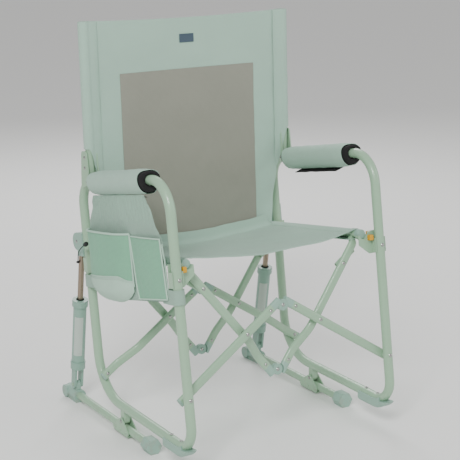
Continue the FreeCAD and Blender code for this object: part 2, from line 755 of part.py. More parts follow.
def cord_radii():
    """Bend radii as large as the runs beside each point allow."""
    points = cord_path()
    radii = []
    for before, here, after in zip(points, points[1:], points[2:]):
        shorter = min((here - before).Length, (after - here).Length)
        turn = (here - before).getAngle(after - here)
        radii.append(0.45 * shorter / tan(turn / 2))
    return radii


def drawcord():
    return swept(cord_path(), cord_radii(), round_face(CORD_R))


def cord_lock():
    """Barrel toggle on the end of the cord, beside the pocket's mouth."""
    end, before = cord_path()[0], cord_path()[1]
    way = (before - end).normalize()
    barrel = cylinder(end - way * 16, way, 5.0, 16)
    return barrel


# ---------------------------------------------------------------- rivets by body
def frame_rivets():
    """Rivets and pins carried by one side frame, chair coordinates."""
    z = SADDLE_RIVET_Z
    rear_sheet = rear_post_y(SEAT_RAIL[1]) - TUBE_R - 0.3 - SHEET
    front_face = POST_Y - TUBE_R
    arm_rear = REAR_LOWER[0] + ARM_DEEP / 2
    parts = [rivet(V(POST_X, front_face, 0), REAR, FRONT_LOWER[0] + ARM_DEEP / 2),
             rivet(V(POST_X, REAR_LOWER[0] - ARM_DEEP / 2, 0), REAR, 446 - REAR_LOWER[0] + 6),
             rivet(V(POST_X, front_face, z), REAR, 2 * TUBE_R + 0.3 + SHEET),
             rivet(V(POST_X, rear_sheet, z), REAR, rear_post_y(z) + TUBE_R - rear_sheet)]
    parts += [rivet(*pin) for pin in back_plate_rivets() + armrest_rivet()]
    pivot = rock_pivot()
    parts.append(rivet(pivot - ACROSS * 12.6, ACROSS, 25.2))
    y, z = STRUT_TOP
    parts.append(rivet(V(POST_X - 15, y, z), ACROSS, 30))
    return parts


def hub_rivet(hub, depth):
    return rivet(V(hub[0], depth - ARM_DEEP / 2, hub[1]), REAR, ARM_DEEP)


def insert_rivet(line, depth):
    start, axis, length = insert_pin(line, depth)
    return rivet(start, axis, length, PIN_R - 1, 3.8)


def arm_rivets(kind, side):
    """Rivets that travel with one side's lower or upper arms."""
    parts = []
    sets = (FRONT_LOWER, REAR_LOWER) if kind == "lower" else (FRONT_UPPER, REAR_UPPER)
    line, hub = (LOWER, UPPER_HUB) if kind == "lower" else (UPPER, LOWER_HUB)
    for depths in sets:
        parts.append(insert_rivet(line, depths[2]))
        if side == "left":
            parts.append(hub_rivet(hub, depths[2]))
    if kind == "lower":
        return parts
    for lower, upper in ((FRONT_LOWER, FRONT_UPPER), (REAR_LOWER, REAR_UPPER)):
        start = V(CROSSING[0], lower[1] - ARM_DEEP / 2, CROSSING[1])
        pin = rivet(start, REAR, upper[1] - lower[1] + ARM_DEEP)
        washer_start = start + REAR * (ARM_DEEP + 0.2)
        washer = cylinder(washer_start, REAR, 6.0, upper[1] - lower[1] - ARM_DEEP - 0.2)
        parts.append(joined([pin, washer]) if washer else pin)
        stay_front = upper[1] - ARM_DEEP / 2 - (GAP + 9 if upper is REAR_UPPER else 0)
        parts.append(rivet(V(STAY_RIVET[0], stay_front, STAY_RIVET[1]), REAR, ARM_DEEP + GAP + 9))
    return parts


def base_rivets():
    """Rivets through the base bar, and the pin in the knuckle's tongue."""
    y, z = STRUT_FOOT
    parts = [rivet(start, axis, length, PIN_R - 1, 3.6) for start, axis, length in bracket_pins()]
    return parts + [rivet(V(POST_X - 11.8, y, z), ACROSS, 23.6)]


# ---------------------------------------------------------------- nodes
def drill_insert(shape, line, depth):
    return drilled(shape, [insert_pin(line, depth)], PIN_R - 1)


def compound(shapes):
    return Part.makeCompound(shapes) if isinstance(shapes, list) else shapes


def side_nodes(side):
    """Every node of one side, drawn for the right side and mirrored for the left."""
    arm_sets = {"front": (FRONT_LOWER, FRONT_UPPER), "rear": (REAR_LOWER, REAR_UPPER)}
    layer = "front" if side == "left" else "rear"
    nodes = {
        "side_frame": side_frame(),
        "foot_glide": foot_glide(),
        "saddle_brackets": [saddle(True), saddle(False)],
        "saddle_tabs": [saddle_tab(True), saddle_tab(False)],
        "armrest_pad": armrest_pad(),
        "armrest_cover": armrest_cover(),
        "strut_mount": strut_mount(),
        "seat_rail": seat_rail(),
        "rail_caps": rail_caps(),
        "back_tube": drilled(back_tube(), back_plate_rivets(), PIN_R),
        "frame_rivets": frame_rivets(),
        "arm_rivets_lower": arm_rivets("lower", side),
        "arm_rivets_upper": arm_rivets("upper", side),
    }
    pins = back_plate_rivets() + armrest_rivet()
    nodes["back_plates"] = [drilled(p, pins, PIN_R) for p in back_plates()]
    nodes["side_frame"] = drilled(nodes["side_frame"], armrest_rivet(), PIN_R)
    lower_ends, upper_ends, stays = [], [], []
    for name, (lower, upper) in arm_sets.items():
        nodes[name + "_lower_arm"] = drill_insert(lower_arm(lower), LOWER, lower[2])
        nodes[name + "_upper_arm"] = drill_insert(upper_arm(upper, name == "rear"), UPPER, upper[2])
        hole = PIN_R if side == "left" else PIN_R + RUN
        lower_end = hub_fitting(LOWER, lower[2], layer, hole, GAP)
        lower_ends += [drill_insert(lower_end, LOWER, lower[2]), foot_cap(lower[0])]
        hole = PIN_R if side == "left" else PIN_R + OPEN_PIVOT_PLAY
        upper_end = hub_fitting(UPPER, upper[2], layer, hole, OPEN_PIVOT_PLAY)
        upper_ends.append(drill_insert(upper_end, UPPER, upper[2]))
        stays.append(stay(upper, name == "rear"))
    nodes["lower_arm_fittings"] = lower_ends
    nodes["upper_arm_fittings"] = upper_ends
    nodes["stays"] = stays
    nodes = {name: place(compound(shape)) for name, shape in nodes.items()}
    nodes["strut_rod"] = place_strut(strut_rod())
    nodes["strut_cylinder"] = place_strut(strut_cylinder())
    nodes["strut_spring"] = place_strut(strut_spring())
    nodes["base_bar"] = base_bar()
    nodes["base_ends"] = compound(base_ends())
    nodes["rock_bracket"] = compound([rock_bracket()] + base_rivets())
    return {f"{name}_{side}": mirrored(shape, side) for name, shape in nodes.items()}


def all_nodes():
    nodes = {}
    for side in SIDES:
        nodes.update(side_nodes(side))
    nodes["seat_sling"] = place(seat_sling())
    nodes["back_sling"] = place(back_sling())
    nodes["pocket_panel"] = place(compound(pocket_panel()))
    nodes["drink_pocket"] = place(drink_pocket())
    nodes["drawcord"] = place(drawcord())
    nodes["cord_lock"] = place(cord_lock())
    return nodes


def main():
    os.makedirs("parts", exist_ok=True)
    nodes = all_nodes()
    for name, shape in nodes.items():
        shape.exportStep(f"parts/{name}.step")
    print("nodes", len(nodes))
    print("cord arc radii", [round(r, 1) for r in cord_radii()])


main()
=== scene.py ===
import json
from math import atan2, cos, hypot, pi, radians, sin

import bpy
from bpy.props import FloatProperty, FloatVectorProperty, PointerProperty
from mathutils import Matrix, Vector, noise


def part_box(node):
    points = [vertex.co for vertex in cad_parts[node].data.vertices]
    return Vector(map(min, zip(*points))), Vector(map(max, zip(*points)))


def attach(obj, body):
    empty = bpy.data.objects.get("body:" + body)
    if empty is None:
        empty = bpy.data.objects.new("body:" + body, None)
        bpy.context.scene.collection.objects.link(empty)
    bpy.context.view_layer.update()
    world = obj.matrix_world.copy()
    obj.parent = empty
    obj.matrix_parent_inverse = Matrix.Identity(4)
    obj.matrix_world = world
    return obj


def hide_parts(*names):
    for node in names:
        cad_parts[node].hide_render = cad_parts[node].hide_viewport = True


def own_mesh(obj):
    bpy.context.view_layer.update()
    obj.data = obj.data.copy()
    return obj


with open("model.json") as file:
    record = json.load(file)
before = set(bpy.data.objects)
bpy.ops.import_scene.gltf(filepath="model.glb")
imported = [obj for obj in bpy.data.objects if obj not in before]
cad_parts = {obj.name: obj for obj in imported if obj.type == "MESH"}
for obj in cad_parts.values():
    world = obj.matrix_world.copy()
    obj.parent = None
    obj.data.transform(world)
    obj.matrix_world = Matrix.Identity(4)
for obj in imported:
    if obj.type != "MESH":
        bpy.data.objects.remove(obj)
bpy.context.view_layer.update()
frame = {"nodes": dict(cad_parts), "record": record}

bl_info = {
    "name": "Camp Rocking Chair",
    "version": (1, 0, 0),
    "blender": (4, 5, 0),
    "location": "View3D > Sidebar > Chair",
    "description": "Cloth, foam, cords, trim and finishes for a folding rocking chair frame",
    "category": "Object",
}

# ------------------------------------------------------------------ places from the frame
SIDES = {"left": -1, "right": 1}
LEAN = radians(8.5)                 # the seat frame leans back on its base bars
PIVOT = (-0.311, 0.184)             # front lower arm pivot on the floor frame, as (Y, Z)


def middle(node):
    low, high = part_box(node)
    return (low + high) / 2


POST_X = middle("back_tube_right").x
RAIL_X = middle("seat_rail_right").x
RAIL_Z = 0.286                      # chair coordinates lean with the posts
RAIL_R = 0.009
BACK_FOOT = Vector((0.382, 0.470))
BACK_TOP = Vector((0.341, 0.812))
BACK_RUN = (BACK_TOP - BACK_FOOT).length
BACK_WAY = (BACK_TOP - BACK_FOOT).normalized()
ARM_TOP = (0.011, 0.470)            # top of the side loop over the front post, as (Y, Z)
ARM_SLOPE = atan2(-0.017, 0.425)
ARMREST = (0.086, 0.360)            # foam sleeve, from front to rear
TUBE_R = 0.011
HUB_Z = {"upper": 0.1606, "lower": 0.0084}
HUB_FACES = {"upper": ((0.024, 0.036), (0.378, 0.390)), "lower": ((0.069, 0.081), (0.413, 0.425))}


def chair(x, y, z):
    """Place of a point given along the leaning chair."""
    return Vector((x, y * cos(LEAN) + z * sin(LEAN) + PIVOT[0],
                   z * cos(LEAN) - y * sin(LEAN) + PIVOT[1]))


def chair_way(x, y, z):
    """Direction given along the leaning chair."""
    return (chair(x, y, z) - chair(0, 0, 0)).normalized()


def rear_post_y(z):
    return 0.443 - 0.007 * (z + 0.051) / 0.504


def ease(value, low, high):
    """0 below low, 1 above high, smooth between."""
    share = min(max((value - low) / (high - low), 0), 1)
    return share * share * (3 - 2 * share)


def lerp(a, b, share):
    return a + (b - a) * share


def along(stops, share):
    """Value at share along a list of (share, value) stops."""
    for (s0, v0), (s1, v1) in zip(stops, stops[1:]):
        if share <= s1:
            return lerp(v0, v1, (share - s0) / (s1 - s0))
    return stops[-1][1]


def ripple(a, b, size, height, seed=0.0):
    return height * noise.noise(Vector((a / size, b / size, seed)))


def tint(red, green, blue):
    """Linear colour of a display colour given from 0 to 255."""
    return tuple((c / 255 / 12.92) if c <= 10 else ((c / 255 + 0.055) / 1.055) ** 2.4
                 for c in (red, green, blue))


# ------------------------------------------------------------------ sizes and colours
def length(label, hint, value):
    return FloatProperty(name=label, description=hint, default=value, unit="LENGTH", min=0.0)


def colour(label, hint, *value):
    return FloatVectorProperty(name=label, description=hint, default=tint(*value),
                               subtype="COLOR", size=3, min=0.0, max=1.0)


class ChairSizes(bpy.types.PropertyGroup):
    cloth: length("Cloth", "Thickness of the woven cloth", 0.0010)
    net: length("Net", "Thickness of the open mesh", 0.0007)
    back_seam: length("Back seam", "Side seams of the back, from the middle", 0.240)
    net_half: length("Net half width", "Half width of the back's mesh window", 0.171)
    net_top: length("Net top", "Top of the mesh window above the back tube's foot", 0.2165)
    back_low: length("Back drop", "How far the back reaches below the tube's foot", 0.178)
    back_sag: length("Top sag", "Dip of the back's top hem", 0.005)
    seat_sag: length("Seat sag", "Dip of the seat's front edge", 0.020)
    hem: length("Hem", "Width of a folded hem", 0.020)
    piping: length("Piping", "Radius of the piping round the mesh window", 0.0014)
    stitch: length("Stitch", "Length from one stitch to the next", 0.0042)
    thread: length("Thread", "Pitch of the weave", 0.0009)
    net_pitch: length("Net pitch", "Pitch of the mesh's holes", 0.0026)
    foam_show: length("Foam end", "Foam that shows at each end of an armrest", 0.011)
    floor: length("Floor", "Width of the studio floor", 60.0)


class ChairColours(bpy.types.PropertyGroup):
    powder_coat: colour("Powder coat", "Frame tubes", 146, 180, 150)
    fitting_plastic: colour("Fittings", "Moulded ends, caps and glides", 140, 173, 158)
    strut_plastic: colour("Strut", "Cylinder of the rocking strut", 130, 164, 149)
    rivet_steel: colour("Rivets", "Bright rivet heads", 168, 170, 166)
    rod_steel: colour("Rod", "Brushed strut rod", 150, 135, 120)
    spring_steel: colour("Spring", "Strut spring", 140, 140, 142)
    seat_cloth: colour("Cloth", "Woven cloth of seat, back and armrests", 160, 191, 174)
    pocket_cloth: colour("Pocket cloth", "Woven cloth of the side pocket", 142, 172, 155)
    back_net: colour("Back mesh", "Mesh window of the back", 143, 144, 131)
    pocket_net: colour("Pocket mesh", "Mesh of the side pockets", 122, 182, 148)
    binding: colour("Binding", "Bound edges of the pockets", 172, 202, 184)
    foam: colour("Foam", "Armrest foam", 20, 20, 21)
    latch_plastic: colour("Latch", "Latch tabs at the saddles", 205, 150, 22)
    cord_black: colour("Cord", "Drawcord", 22, 22, 23)
    toggle_plastic: colour("Toggle", "Cord lock", 26, 26, 27)
    label: colour("Label", "Plain sewn label", 62, 78, 92)
    strip: colour("Strip", "Plain strip on the strut", 178, 190, 182)
    floor: colour("Floor", "Studio floor", 236, 236, 234)


def sizes():
    return bpy.context.scene.chair_sizes


def colours():
    return bpy.context.scene.chair_colours


# ------------------------------------------------------------------ node helpers
def put(tree, kind, settings=None, **values):
    """Add a node; values go to its inputs by name, as sockets to link or as constants."""
    node = tree.nodes.new(kind)
    for field, value in (settings or {}).items():
        setattr(node, field, value)
    for label, value in values.items():
        feed(tree, node.inputs[label.replace("_", " ")], value)
    return node


def feed(tree, target, value):
    if isinstance(value, bpy.types.NodeSocket):
        tree.links.new(value, target)
    else:
        target.default_value = value


def sum_up(tree, operation, first, second=0.0):
    """Output of a Math node."""
    node = tree.nodes.new("ShaderNodeMath")
    node.operation = operation
    feed(tree, node.inputs[0], first)
    feed(tree, node.inputs[1], second)
    return node.outputs[0]


def new_group(name, inputs, outputs):
    """Empty shader group with named sockets; returns it with its input and output nodes."""
    group = bpy.data.node_groups.new(name, "ShaderNodeTree")
    for label, kind, value in inputs:
        socket = group.interface.new_socket(label, in_out="INPUT", socket_type="NodeSocket" + kind)
        socket.default_value = value
    for label, kind in outputs:
        group.interface.new_socket(label, in_out="OUTPUT", socket_type="NodeSocket" + kind)
    return group, group.nodes.new("NodeGroupInput"), group.nodes.new("NodeGroupOutput")


def shaded(tree, base, value):
    """Base colour with its brightness multiplied by value."""
    node = put(tree, "ShaderNodeHueSaturation", Value=value, Color=base)
    return node.outputs[0]


def build_grain_group():
    """Broad shade changes, fine grain and dust near the floor."""
    group, source, out = new_group(
        "Surface grain",
        (("Vector", "Vector", (0, 0, 0)), ("Color", "Color", (0.5, 0.5, 0.5, 1)),
         ("Shade", "Float", 0.1), ("Grain", "Float", 900.0), ("Roughness", "Float", 0.5),
         ("Spread", "Float", 0.1), ("Dust", "Float", 0.1)),
        (("Color", "Color"), ("Roughness", "Float"), ("Height", "Float")))
    take = source.outputs
    broad = put(group, "ShaderNodeTexNoise", Vector=take["Vector"], Scale=9.0, Detail=5.0)
    fine = put(group, "ShaderNodeTexNoise", Vector=take["Vector"], Scale=take["Grain"], Detail=3.0)
    patch = put(group, "ShaderNodeTexNoise", Vector=take["Vector"], Scale=60.0, Detail=6.0)
    off_middle = sum_up(group, "SUBTRACT", broad.outputs[0], 0.5)
    fine_off = sum_up(group, "SUBTRACT", fine.outputs[0], 0.5)
    both = sum_up(group, "ADD", off_middle, sum_up(group, "MULTIPLY", fine_off, 0.4))
    value = sum_up(group, "ADD", sum_up(group, "MULTIPLY", both, take["Shade"]), 1.0)
    height = put(group, "ShaderNodeSeparateXYZ", Vector=take["Vector"]).outputs[2]
    low = sum_up(group, "SUBTRACT", 1.0, sum_up(group, "MULTIPLY", height, 14.0))
    low = put(group, "ShaderNodeClamp", Value=low).outputs[0]
    specks = sum_up(group, "GREATER_THAN", patch.outputs[0], 0.56)
    dust = sum_up(group, "MULTIPLY", sum_up(group, "MULTIPLY", low, specks), take["Dust"])
    mix = put(group, "ShaderNodeMix", {"data_type": "RGBA"})
    feed(group, mix.inputs[0], dust)
    feed(group, mix.inputs[6], shaded(group, take["Color"], value))
    feed(group, mix.inputs[7], (0.32, 0.29, 0.24, 1))
    rough = sum_up(group, "ADD", take["Roughness"],
                   sum_up(group, "MULTIPLY", both, take["Spread"]))
    group.links.new(mix.outputs[2], out.inputs["Color"])
    group.links.new(sum_up(group, "ADD", rough, sum_up(group, "MULTIPLY", dust, 0.3)),
                    out.inputs["Roughness"])
    group.links.new(fine.outputs[0], out.inputs["Height"])
    return group


def cells(tree, vector, pitch):
    """The two cloth coordinates counted in pitches."""
    split = put(tree, "ShaderNodeSeparateXYZ", Vector=vector)
    return [sum_up(tree, "DIVIDE", split.outputs[i], pitch) for i in range(2)]


def build_weave_group():
    """Plain weave: threads pass over and under each other in a chequer; the colour carries painted
    shade where the threads dip.
    """
    group, source, out = new_group(
        "Plain weave",
        (("Vector", "Vector", (0, 0, 0)), ("Color", "Color", (0.5, 0.5, 0.5, 1)),
         ("Pitch", "Float", 0.0009), ("Depth", "Float", 0.2), ("Slub", "Float", 0.1)),
        (("Color", "Color"), ("Height", "Float")))
    take = source.outputs
    x, y = cells(group, take["Vector"], take["Pitch"])
    ridges = [sum_up(group, "ABSOLUTE", sum_up(group, "SINE", sum_up(group, "MULTIPLY", c, pi)))
              for c in (x, y)]
    count = sum_up(group, "ADD", sum_up(group, "FLOOR", x), sum_up(group, "FLOOR", y))
    over = sum_up(group, "FLOORED_MODULO", count, 2.0)
    warp = sum_up(group, "MULTIPLY", ridges[0], over)
    weft = sum_up(group, "MULTIPLY", ridges[1], sum_up(group, "SUBTRACT", 1.0, over))
    height = sum_up(group, "ADD", warp, weft)
    squeeze = put(group, "ShaderNodeMapping", Vector=take["Vector"])
    squeeze.inputs["Scale"].default_value = (40.0, 900.0, 1.0)
    slub = put(group, "ShaderNodeTexNoise", Vector=squeeze.outputs[0], Scale=1.0, Detail=3.0)
    # painted shade: the colour is darkened on the low parts of the threads, where shade would fall
    # between them
    shade = sum_up(group, "MULTIPLY", sum_up(group, "SUBTRACT", height, 0.7), take["Depth"])
    uneven = sum_up(group, "MULTIPLY", sum_up(group, "SUBTRACT", slub.outputs[0], 0.5),
                    take["Slub"])
    value = sum_up(group, "ADD", sum_up(group, "ADD", shade, uneven), 1.0)
    group.links.new(shaded(group, take["Color"], value), out.inputs["Color"])
    group.links.new(sum_up(group, "ADD", height, uneven), out.inputs["Height"])
    return group


def build_net_group():
    """Open mesh: staggered round holes that look into shade."""
    group, source, out = new_group(
        "Open mesh",
        (("Vector", "Vector", (0, 0, 0)), ("Color", "Color", (0.5, 0.5, 0.5, 1)),
         ("Pitch", "Float", 0.0026), ("Depth", "Float", 0.5)),
        (("Color", "Color"), ("Height", "Float")))
    take = source.outputs
    x, y = cells(group, take["Vector"], take["Pitch"])
    row = sum_up(group, "FLOORED_MODULO", sum_up(group, "FLOOR", y), 2.0)
    x = sum_up(group, "ADD", x, sum_up(group, "MULTIPLY", row, 0.5))
    parts = [sum_up(group, "SUBTRACT", sum_up(group, "FLOORED_MODULO", c, 1.0), 0.5)
             for c in (x, y)]
    squares = [sum_up(group, "MULTIPLY", c, c) for c in parts]
    away = sum_up(group, "SQRT", sum_up(group, "ADD", *squares))
    rim = put(group, "ShaderNodeMapRange", {"interpolation_type": "SMOOTHSTEP"}, Value=away,
              From_Min=0.2, From_Max=0.36)
    # painted shade: the holes are darkened as if looking into the shade behind the mesh
    value = sum_up(group, "SUBTRACT", 1.0, sum_up(
        group, "MULTIPLY", sum_up(group, "SUBTRACT", 1.0, rim.outputs[0]), take["Depth"]))
    group.links.new(shaded(group, take["Color"], value), out.inputs["Color"])
    group.links.new(rim.outputs[0], out.inputs["Height"])
    return group


GROUPS = {}


def group_node(tree, name, **values):
    node = tree.nodes.new("ShaderNodeGroup")
    node.node_tree = GROUPS[name]
    for label, value in values.items():
        feed(tree, node.inputs[label], value)
    return node


def make_finish(name, base, roughness, shade=0.1, grain=900.0, spread=0.12, dust=0.0,
                bump=0.00006, metallic=0.0, coat=0.0, sheen=0.0, cloth=None, pitch=0.0009,
                depth=0.2):
    """Material whose pattern follows the piece; cloth is None, weave or net."""
    material = bpy.data.materials.new(f"{name}_finish")
    material.use_nodes = True
    tree = material.node_tree
    shader = tree.nodes["Principled BSDF"]
    place = tree.nodes.new("ShaderNodeTexCoord")
    paint = (*base, 1.0)
    height = None
    if cloth:
        # depth sets how dark the painted shade is between the threads of a weave and in the holes of a
        # net
        values = {"Vector": place.outputs["UV"], "Color": paint, "Pitch": pitch, "Depth": depth}
        pattern = group_node(tree, cloth, **values)
        paint, height = pattern.outputs["Color"], pattern.outputs["Height"]
    surface = group_node(tree, "grain", Vector=place.outputs["Object"], Color=paint, Shade=shade,
                         Grain=grain, Roughness=roughness, Spread=spread, Dust=dust)
    tree.links.new(surface.outputs["Color"], shader.inputs["Base Color"])
    tree.links.new(surface.outputs["Roughness"], shader.inputs["Roughness"])
    if height:
        height = sum_up(tree, "ADD", height, sum_up(tree, "MULTIPLY", surface.outputs["Height"], 0.5))
    raised = put(tree, "ShaderNodeBump", Height=height or surface.outputs["Height"],
                 Strength=0.6, Distance=bump)
    tree.links.new(raised.outputs[0], shader.inputs["Normal"])
    shader.inputs["Metallic"].default_value = metallic
    shader.inputs["Coat Weight"].default_value = coat
    shader.inputs["Sheen Weight"].default_value = sheen
    return material


def make_finishes():
    """Every finish of the chair, by the name of its colour."""
    GROUPS.update(grain=build_grain_group(), weave=build_weave_group(), net=build_net_group())
    thread, net_pitch = sizes().thread, sizes().net_pitch
    woven = {"cloth": "weave", "pitch": thread, "bump": 0.00025, "sheen": 0.15, "shade": 0.12}
    netted = {"cloth": "net", "pitch": net_pitch, "bump": 0.0005, "sheen": 0.1}
    looks = {
        "powder_coat": dict(roughness=0.34, shade=0.08, grain=1400, dust=0.25, coat=0.35),
        "fitting_plastic": dict(roughness=0.5, shade=0.1, grain=700, dust=0.35),
        "strut_plastic": dict(roughness=0.4, shade=0.12, grain=500, coat=0.1),
        "rivet_steel": dict(roughness=0.2, shade=0.1, grain=300, metallic=1.0),
        "rod_steel": dict(roughness=0.32, shade=0.15, grain=200, metallic=1.0),
        "spring_steel": dict(roughness=0.35, shade=0.15, grain=300, metallic=1.0),
        "seat_cloth": dict(roughness=0.82, **woven),
        "pocket_cloth": dict(roughness=0.8, **woven),
        # depth here: strength of the painted shade in the mesh holes
        "back_net": dict(roughness=0.8, depth=0.35, shade=0.1, **netted),
        "pocket_net": dict(roughness=0.75, depth=0.4, shade=0.16, **netted),
        "binding": dict(roughness=0.8, shade=0.12, grain=1500, bump=0.0002),
        "foam": dict(roughness=0.95, shade=0.5, grain=1100, bump=0.0008),
        "latch_plastic": dict(roughness=0.35, shade=0.12, grain=500),
        "cord_black": dict(roughness=0.85, shade=0.5, grain=1800, bump=0.0003),
        "toggle_plastic": dict(roughness=0.5, shade=0.3, grain=900),
        "label": dict(roughness=0.7, shade=0.15, grain=1200, bump=0.0002),
        "strip": dict(roughness=0.45, shade=0.12, grain=400),
    }
    for name, look in looks.items():
        make_finish(name, getattr(colours(), name), **look)


def paint(piece, name):
    piece.data.materials.clear()
    piece.data.materials.append(bpy.data.materials[f"{name}_finish"])
    return piece


# ------------------------------------------------------------------ modelling helpers
def deselect():
    bpy.ops.object.select_all(action="DESELECT")


def activate(piece):
    deselect()
    piece.select_set(True)
    bpy.context.view_layer.objects.active = piece
    return piece


def call(name):
    """Name the piece that was just made."""
    piece = bpy.context.view_layer.objects.active
    piece.name = piece.data.name = name
    return piece


def apply_place(piece):
    activate(piece)
    bpy.ops.object.transform_apply(location=True, rotation=True, scale=True)
    return piece


def apply_modifiers(piece):
    activate(piece)
    for modifier in list(piece.modifiers):
        bpy.ops.object.modifier_apply(modifier=modifier.name)
    return piece


def smooth(piece, angle=40):
    activate(piece)
    bpy.ops.object.shade_smooth_by_angle(angle=radians(angle))
    return piece


def select_faces(piece, wanted):
    """Go to edit mode with only the faces whose centre and normal pass the test."""
    activate(piece)
    bpy.ops.object.mode_set(mode="EDIT")
    bpy.ops.mesh.select_mode(type="FACE")
    bpy.ops.mesh.select_all(action="DESELECT")
    bpy.ops.object.mode_set(mode="OBJECT")
    for face in piece.data.polygons:
        face.select = wanted(face)
    bpy.ops.object.mode_set(mode="EDIT")


def leave_edit():
    bpy.ops.object.mode_set(mode="OBJECT")


def join(name, pieces):
    activate(pieces[0])
    for piece in pieces[1:]:
        piece.select_set(True)
    if len(pieces) > 1:
        bpy.ops.object.join()
    return call(name)


def thicken(piece, thickness):
    solid = piece.modifiers.new("thickness", "SOLIDIFY")
    solid.thickness = thickness
    solid.offset = 0.0
    return smooth(apply_modifiers(piece), 50)


def lay_cloth(name, columns, rows, layout, surface, thickness, leave_out=None):
    """Cloth on surface(a, b), where layout(u, v) gives the metres of cloth across and along."""
    deselect()
    bpy.ops.mesh.primitive_grid_add(x_subdivisions=columns, y_subdivisions=rows, size=1.0,
                                    location=(0, 0, 0))
    piece = call(name)
    if leave_out:
        select_faces(piece, lambda face: leave_out(*layout(face.center.x + 0.5,
                                                           face.center.y + 0.5)))
        bpy.ops.mesh.delete(type="FACE")
        leave_edit()
    spots = [layout(vertex.co.x + 0.5, vertex.co.y + 0.5) for vertex in piece.data.vertices]
    flat = piece.data.uv_layers.active.data
    for loop in piece.data.loops:
        flat[loop.index].uv = spots[loop.vertex_index]
    for vertex, spot in zip(piece.data.vertices, spots):
        vertex.co = (*spot, 0)
    piece.data.update()
    across, up = zip(*spots)
    max(across) - min(across)
    max(up) - min(up)
    for vertex, spot in zip(piece.data.vertices, spots):
        vertex.co = surface(*spot)
    return thicken(piece, thickness)


def lifted(surface, lift):
    """The same surface, moved out along its own normal."""
    step = 0.0008

    def moved(a, b):
        spot = surface(a, b)
        normal = (surface(a + step, b) - surface(a - step, b)).cross(
            surface(a, b + step) - surface(a, b - step))
        return spot + normal.normalized() * lift
    return moved


def rectangle(low_a, high_a, low_b, high_b):
    return lambda u, v: (lerp(low_a, high_a, u), lerp(low_b, high_b, v))


def line_of(surface, start, end, count=40):
    """Points on a surface from one spot on the cloth to another."""
    return [surface(lerp(start[0], end[0], i / count), lerp(start[1], end[1], i / count))
            for i in range(count + 1)]


def curve_through(name, points, kind="POLY", radius=0.0, rounds=3):
    """Curve object through points, and its one spline."""
    curve = bpy.data.curves.new(name, "CURVE")
    curve.dimensions = "3D"
    curve.bevel_depth = radius
    curve.bevel_resolution = rounds
    curve.use_fill_caps = True
    spline = curve.splines.new(kind)
    spline.points.add(len(points) - 1)
    for spot, point in zip(spline.points, points):
        spot.co = (*point, 1.0)
    piece = bpy.data.objects.new(name, curve)
    bpy.context.scene.collection.objects.link(piece)
    return piece, spline


def tube(name, points, radius, closed=False):
    """Round cord along points, as a closed mesh."""
    piece, spline = curve_through(name, points, radius=radius)
    spline.use_cyclic_u = closed
    activate(piece)
    bpy.ops.object.convert(target="MESH")
    return smooth(call(name), 60)


def stitch_row(points, size=(0.0026, 0.0009, 0.0007)):
    """One line of stitches along points."""
    pitch = sizes().stitch
    run = sum((b - a).length for a, b in zip(points, points[1:]))
    guide, _ = curve_through("stitch_guide", points)
    deselect()
    bpy.ops.mesh.primitive_uv_sphere_add(segments=6, ring_count=4, radius=0.5,
                                         location=(0, 0, 0), scale=size)
    piece = apply_place(call("stitches"))
    repeat = piece.modifiers.new("repeat", "ARRAY")
    repeat.count = max(2, int(run / pitch))
    repeat.use_relative_offset = False
    repeat.use_constant_offset = True
    repeat.constant_offset_displace = (pitch, 0, 0)
    follow = piece.modifiers.new("follow", "CURVE")
    follow.object = guide
    apply_modifiers(piece)
    bpy.data.objects.remove(guide)
    activate(piece)
    bpy.ops.object.shade_smooth()
    return piece


def add_rod(name, start, way, radius, run, vertices=32, soften=0.0):
    """Closed round bar from start along way, with softened rims."""
    turn = Vector(way).to_track_quat("Z", "Y").to_euler()
    deselect()
    bpy.ops.mesh.primitive_cylinder_add(vertices=vertices, radius=radius, depth=run,
                                        location=Vector(start) + Vector(way) * run / 2,
                                        rotation=turn)
    piece = apply_place(call(name))
    if soften:
        bevel = piece.modifiers.new("rims", "BEVEL")
        bevel.width = soften
        bevel.segments = 3
        bevel.limit_method = "ANGLE"
        apply_modifiers(piece)
    return smooth(piece)


def add_ring(name, centre, way, major, minor, vertices=40):
    turn = Vector(way).to_track_quat("Z", "Y").to_euler()
    deselect()
    bpy.ops.mesh.primitive_torus_add(major_segments=vertices, minor_segments=10,
                                     major_radius=major, minor_radius=minor,
                                     location=centre, rotation=turn)
    return smooth(apply_place(call(name)), 60)


def finish_piece(piece, finish, body):
    """Give a piece its finish and the body it rides on."""
    paint(piece, finish)
    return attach(piece, body)


# ------------------------------------------------------------------ back
SLEEVE_R = 0.0124
SLEEVE_RUN = 0.019                  # cloth from the seam to where it meets the tube
SLEEVE_TURN = radians(250)
SLEEVE_FROM = 0.062                 # lower end of the sleeves, above the tube's foot
GORE_FROM = -0.035                  # lowest point of the cloth that tapers from a sleeve
BACK_LOW_HALF = 0.222
SIDE_COLUMNS = 0.2                  # share of the panel's columns in each side band
NET_ROWS = 0.6                      # share of its rows beside the mesh window


def back_frame(x, s, depth):
    """Point x across, s up the back tube and depth in front of its axis."""
    y = BACK_FOOT.x + BACK_WAY.x * s - BACK_WAY.y * depth
    z = BACK_FOOT.y + BACK_WAY.y * s + BACK_WAY.x * depth
    return chair(x, y, z)


def back_surface(x, s):
    """Taut cloth, slightly hollow, with faint pulls from its corners."""
    seam = sizes().back_seam
    share = abs(x) / seam
    hollow = -0.007 * max(1 - share * share, 0) * ease(s, -0.25, 0.1)
    pull = 0.0032 * sin((abs(x) * 0.8 - s) * 60) * ease(share, 0.72, 1.0) * ease(-s, -0.08, 0.1)
    folds = ripple(x, s, 0.09, 0.0022) + ripple(x, s, 0.03, 0.0007, 4.0)
    return back_frame(x, s, 0.004 + hollow + pull + folds)


def back_half(s):
    """Half width of the back panel, narrower below the armrests."""
    low = -sizes().back_low
    return lerp(BACK_LOW_HALF, sizes().back_seam, min((s - low) / (GORE_FROM - low), 1))


def back_top(x):
    share = min(abs(x) / sizes().back_seam, 1)
    return BACK_RUN + 0.004 - sizes().back_sag * (1 - share * share)


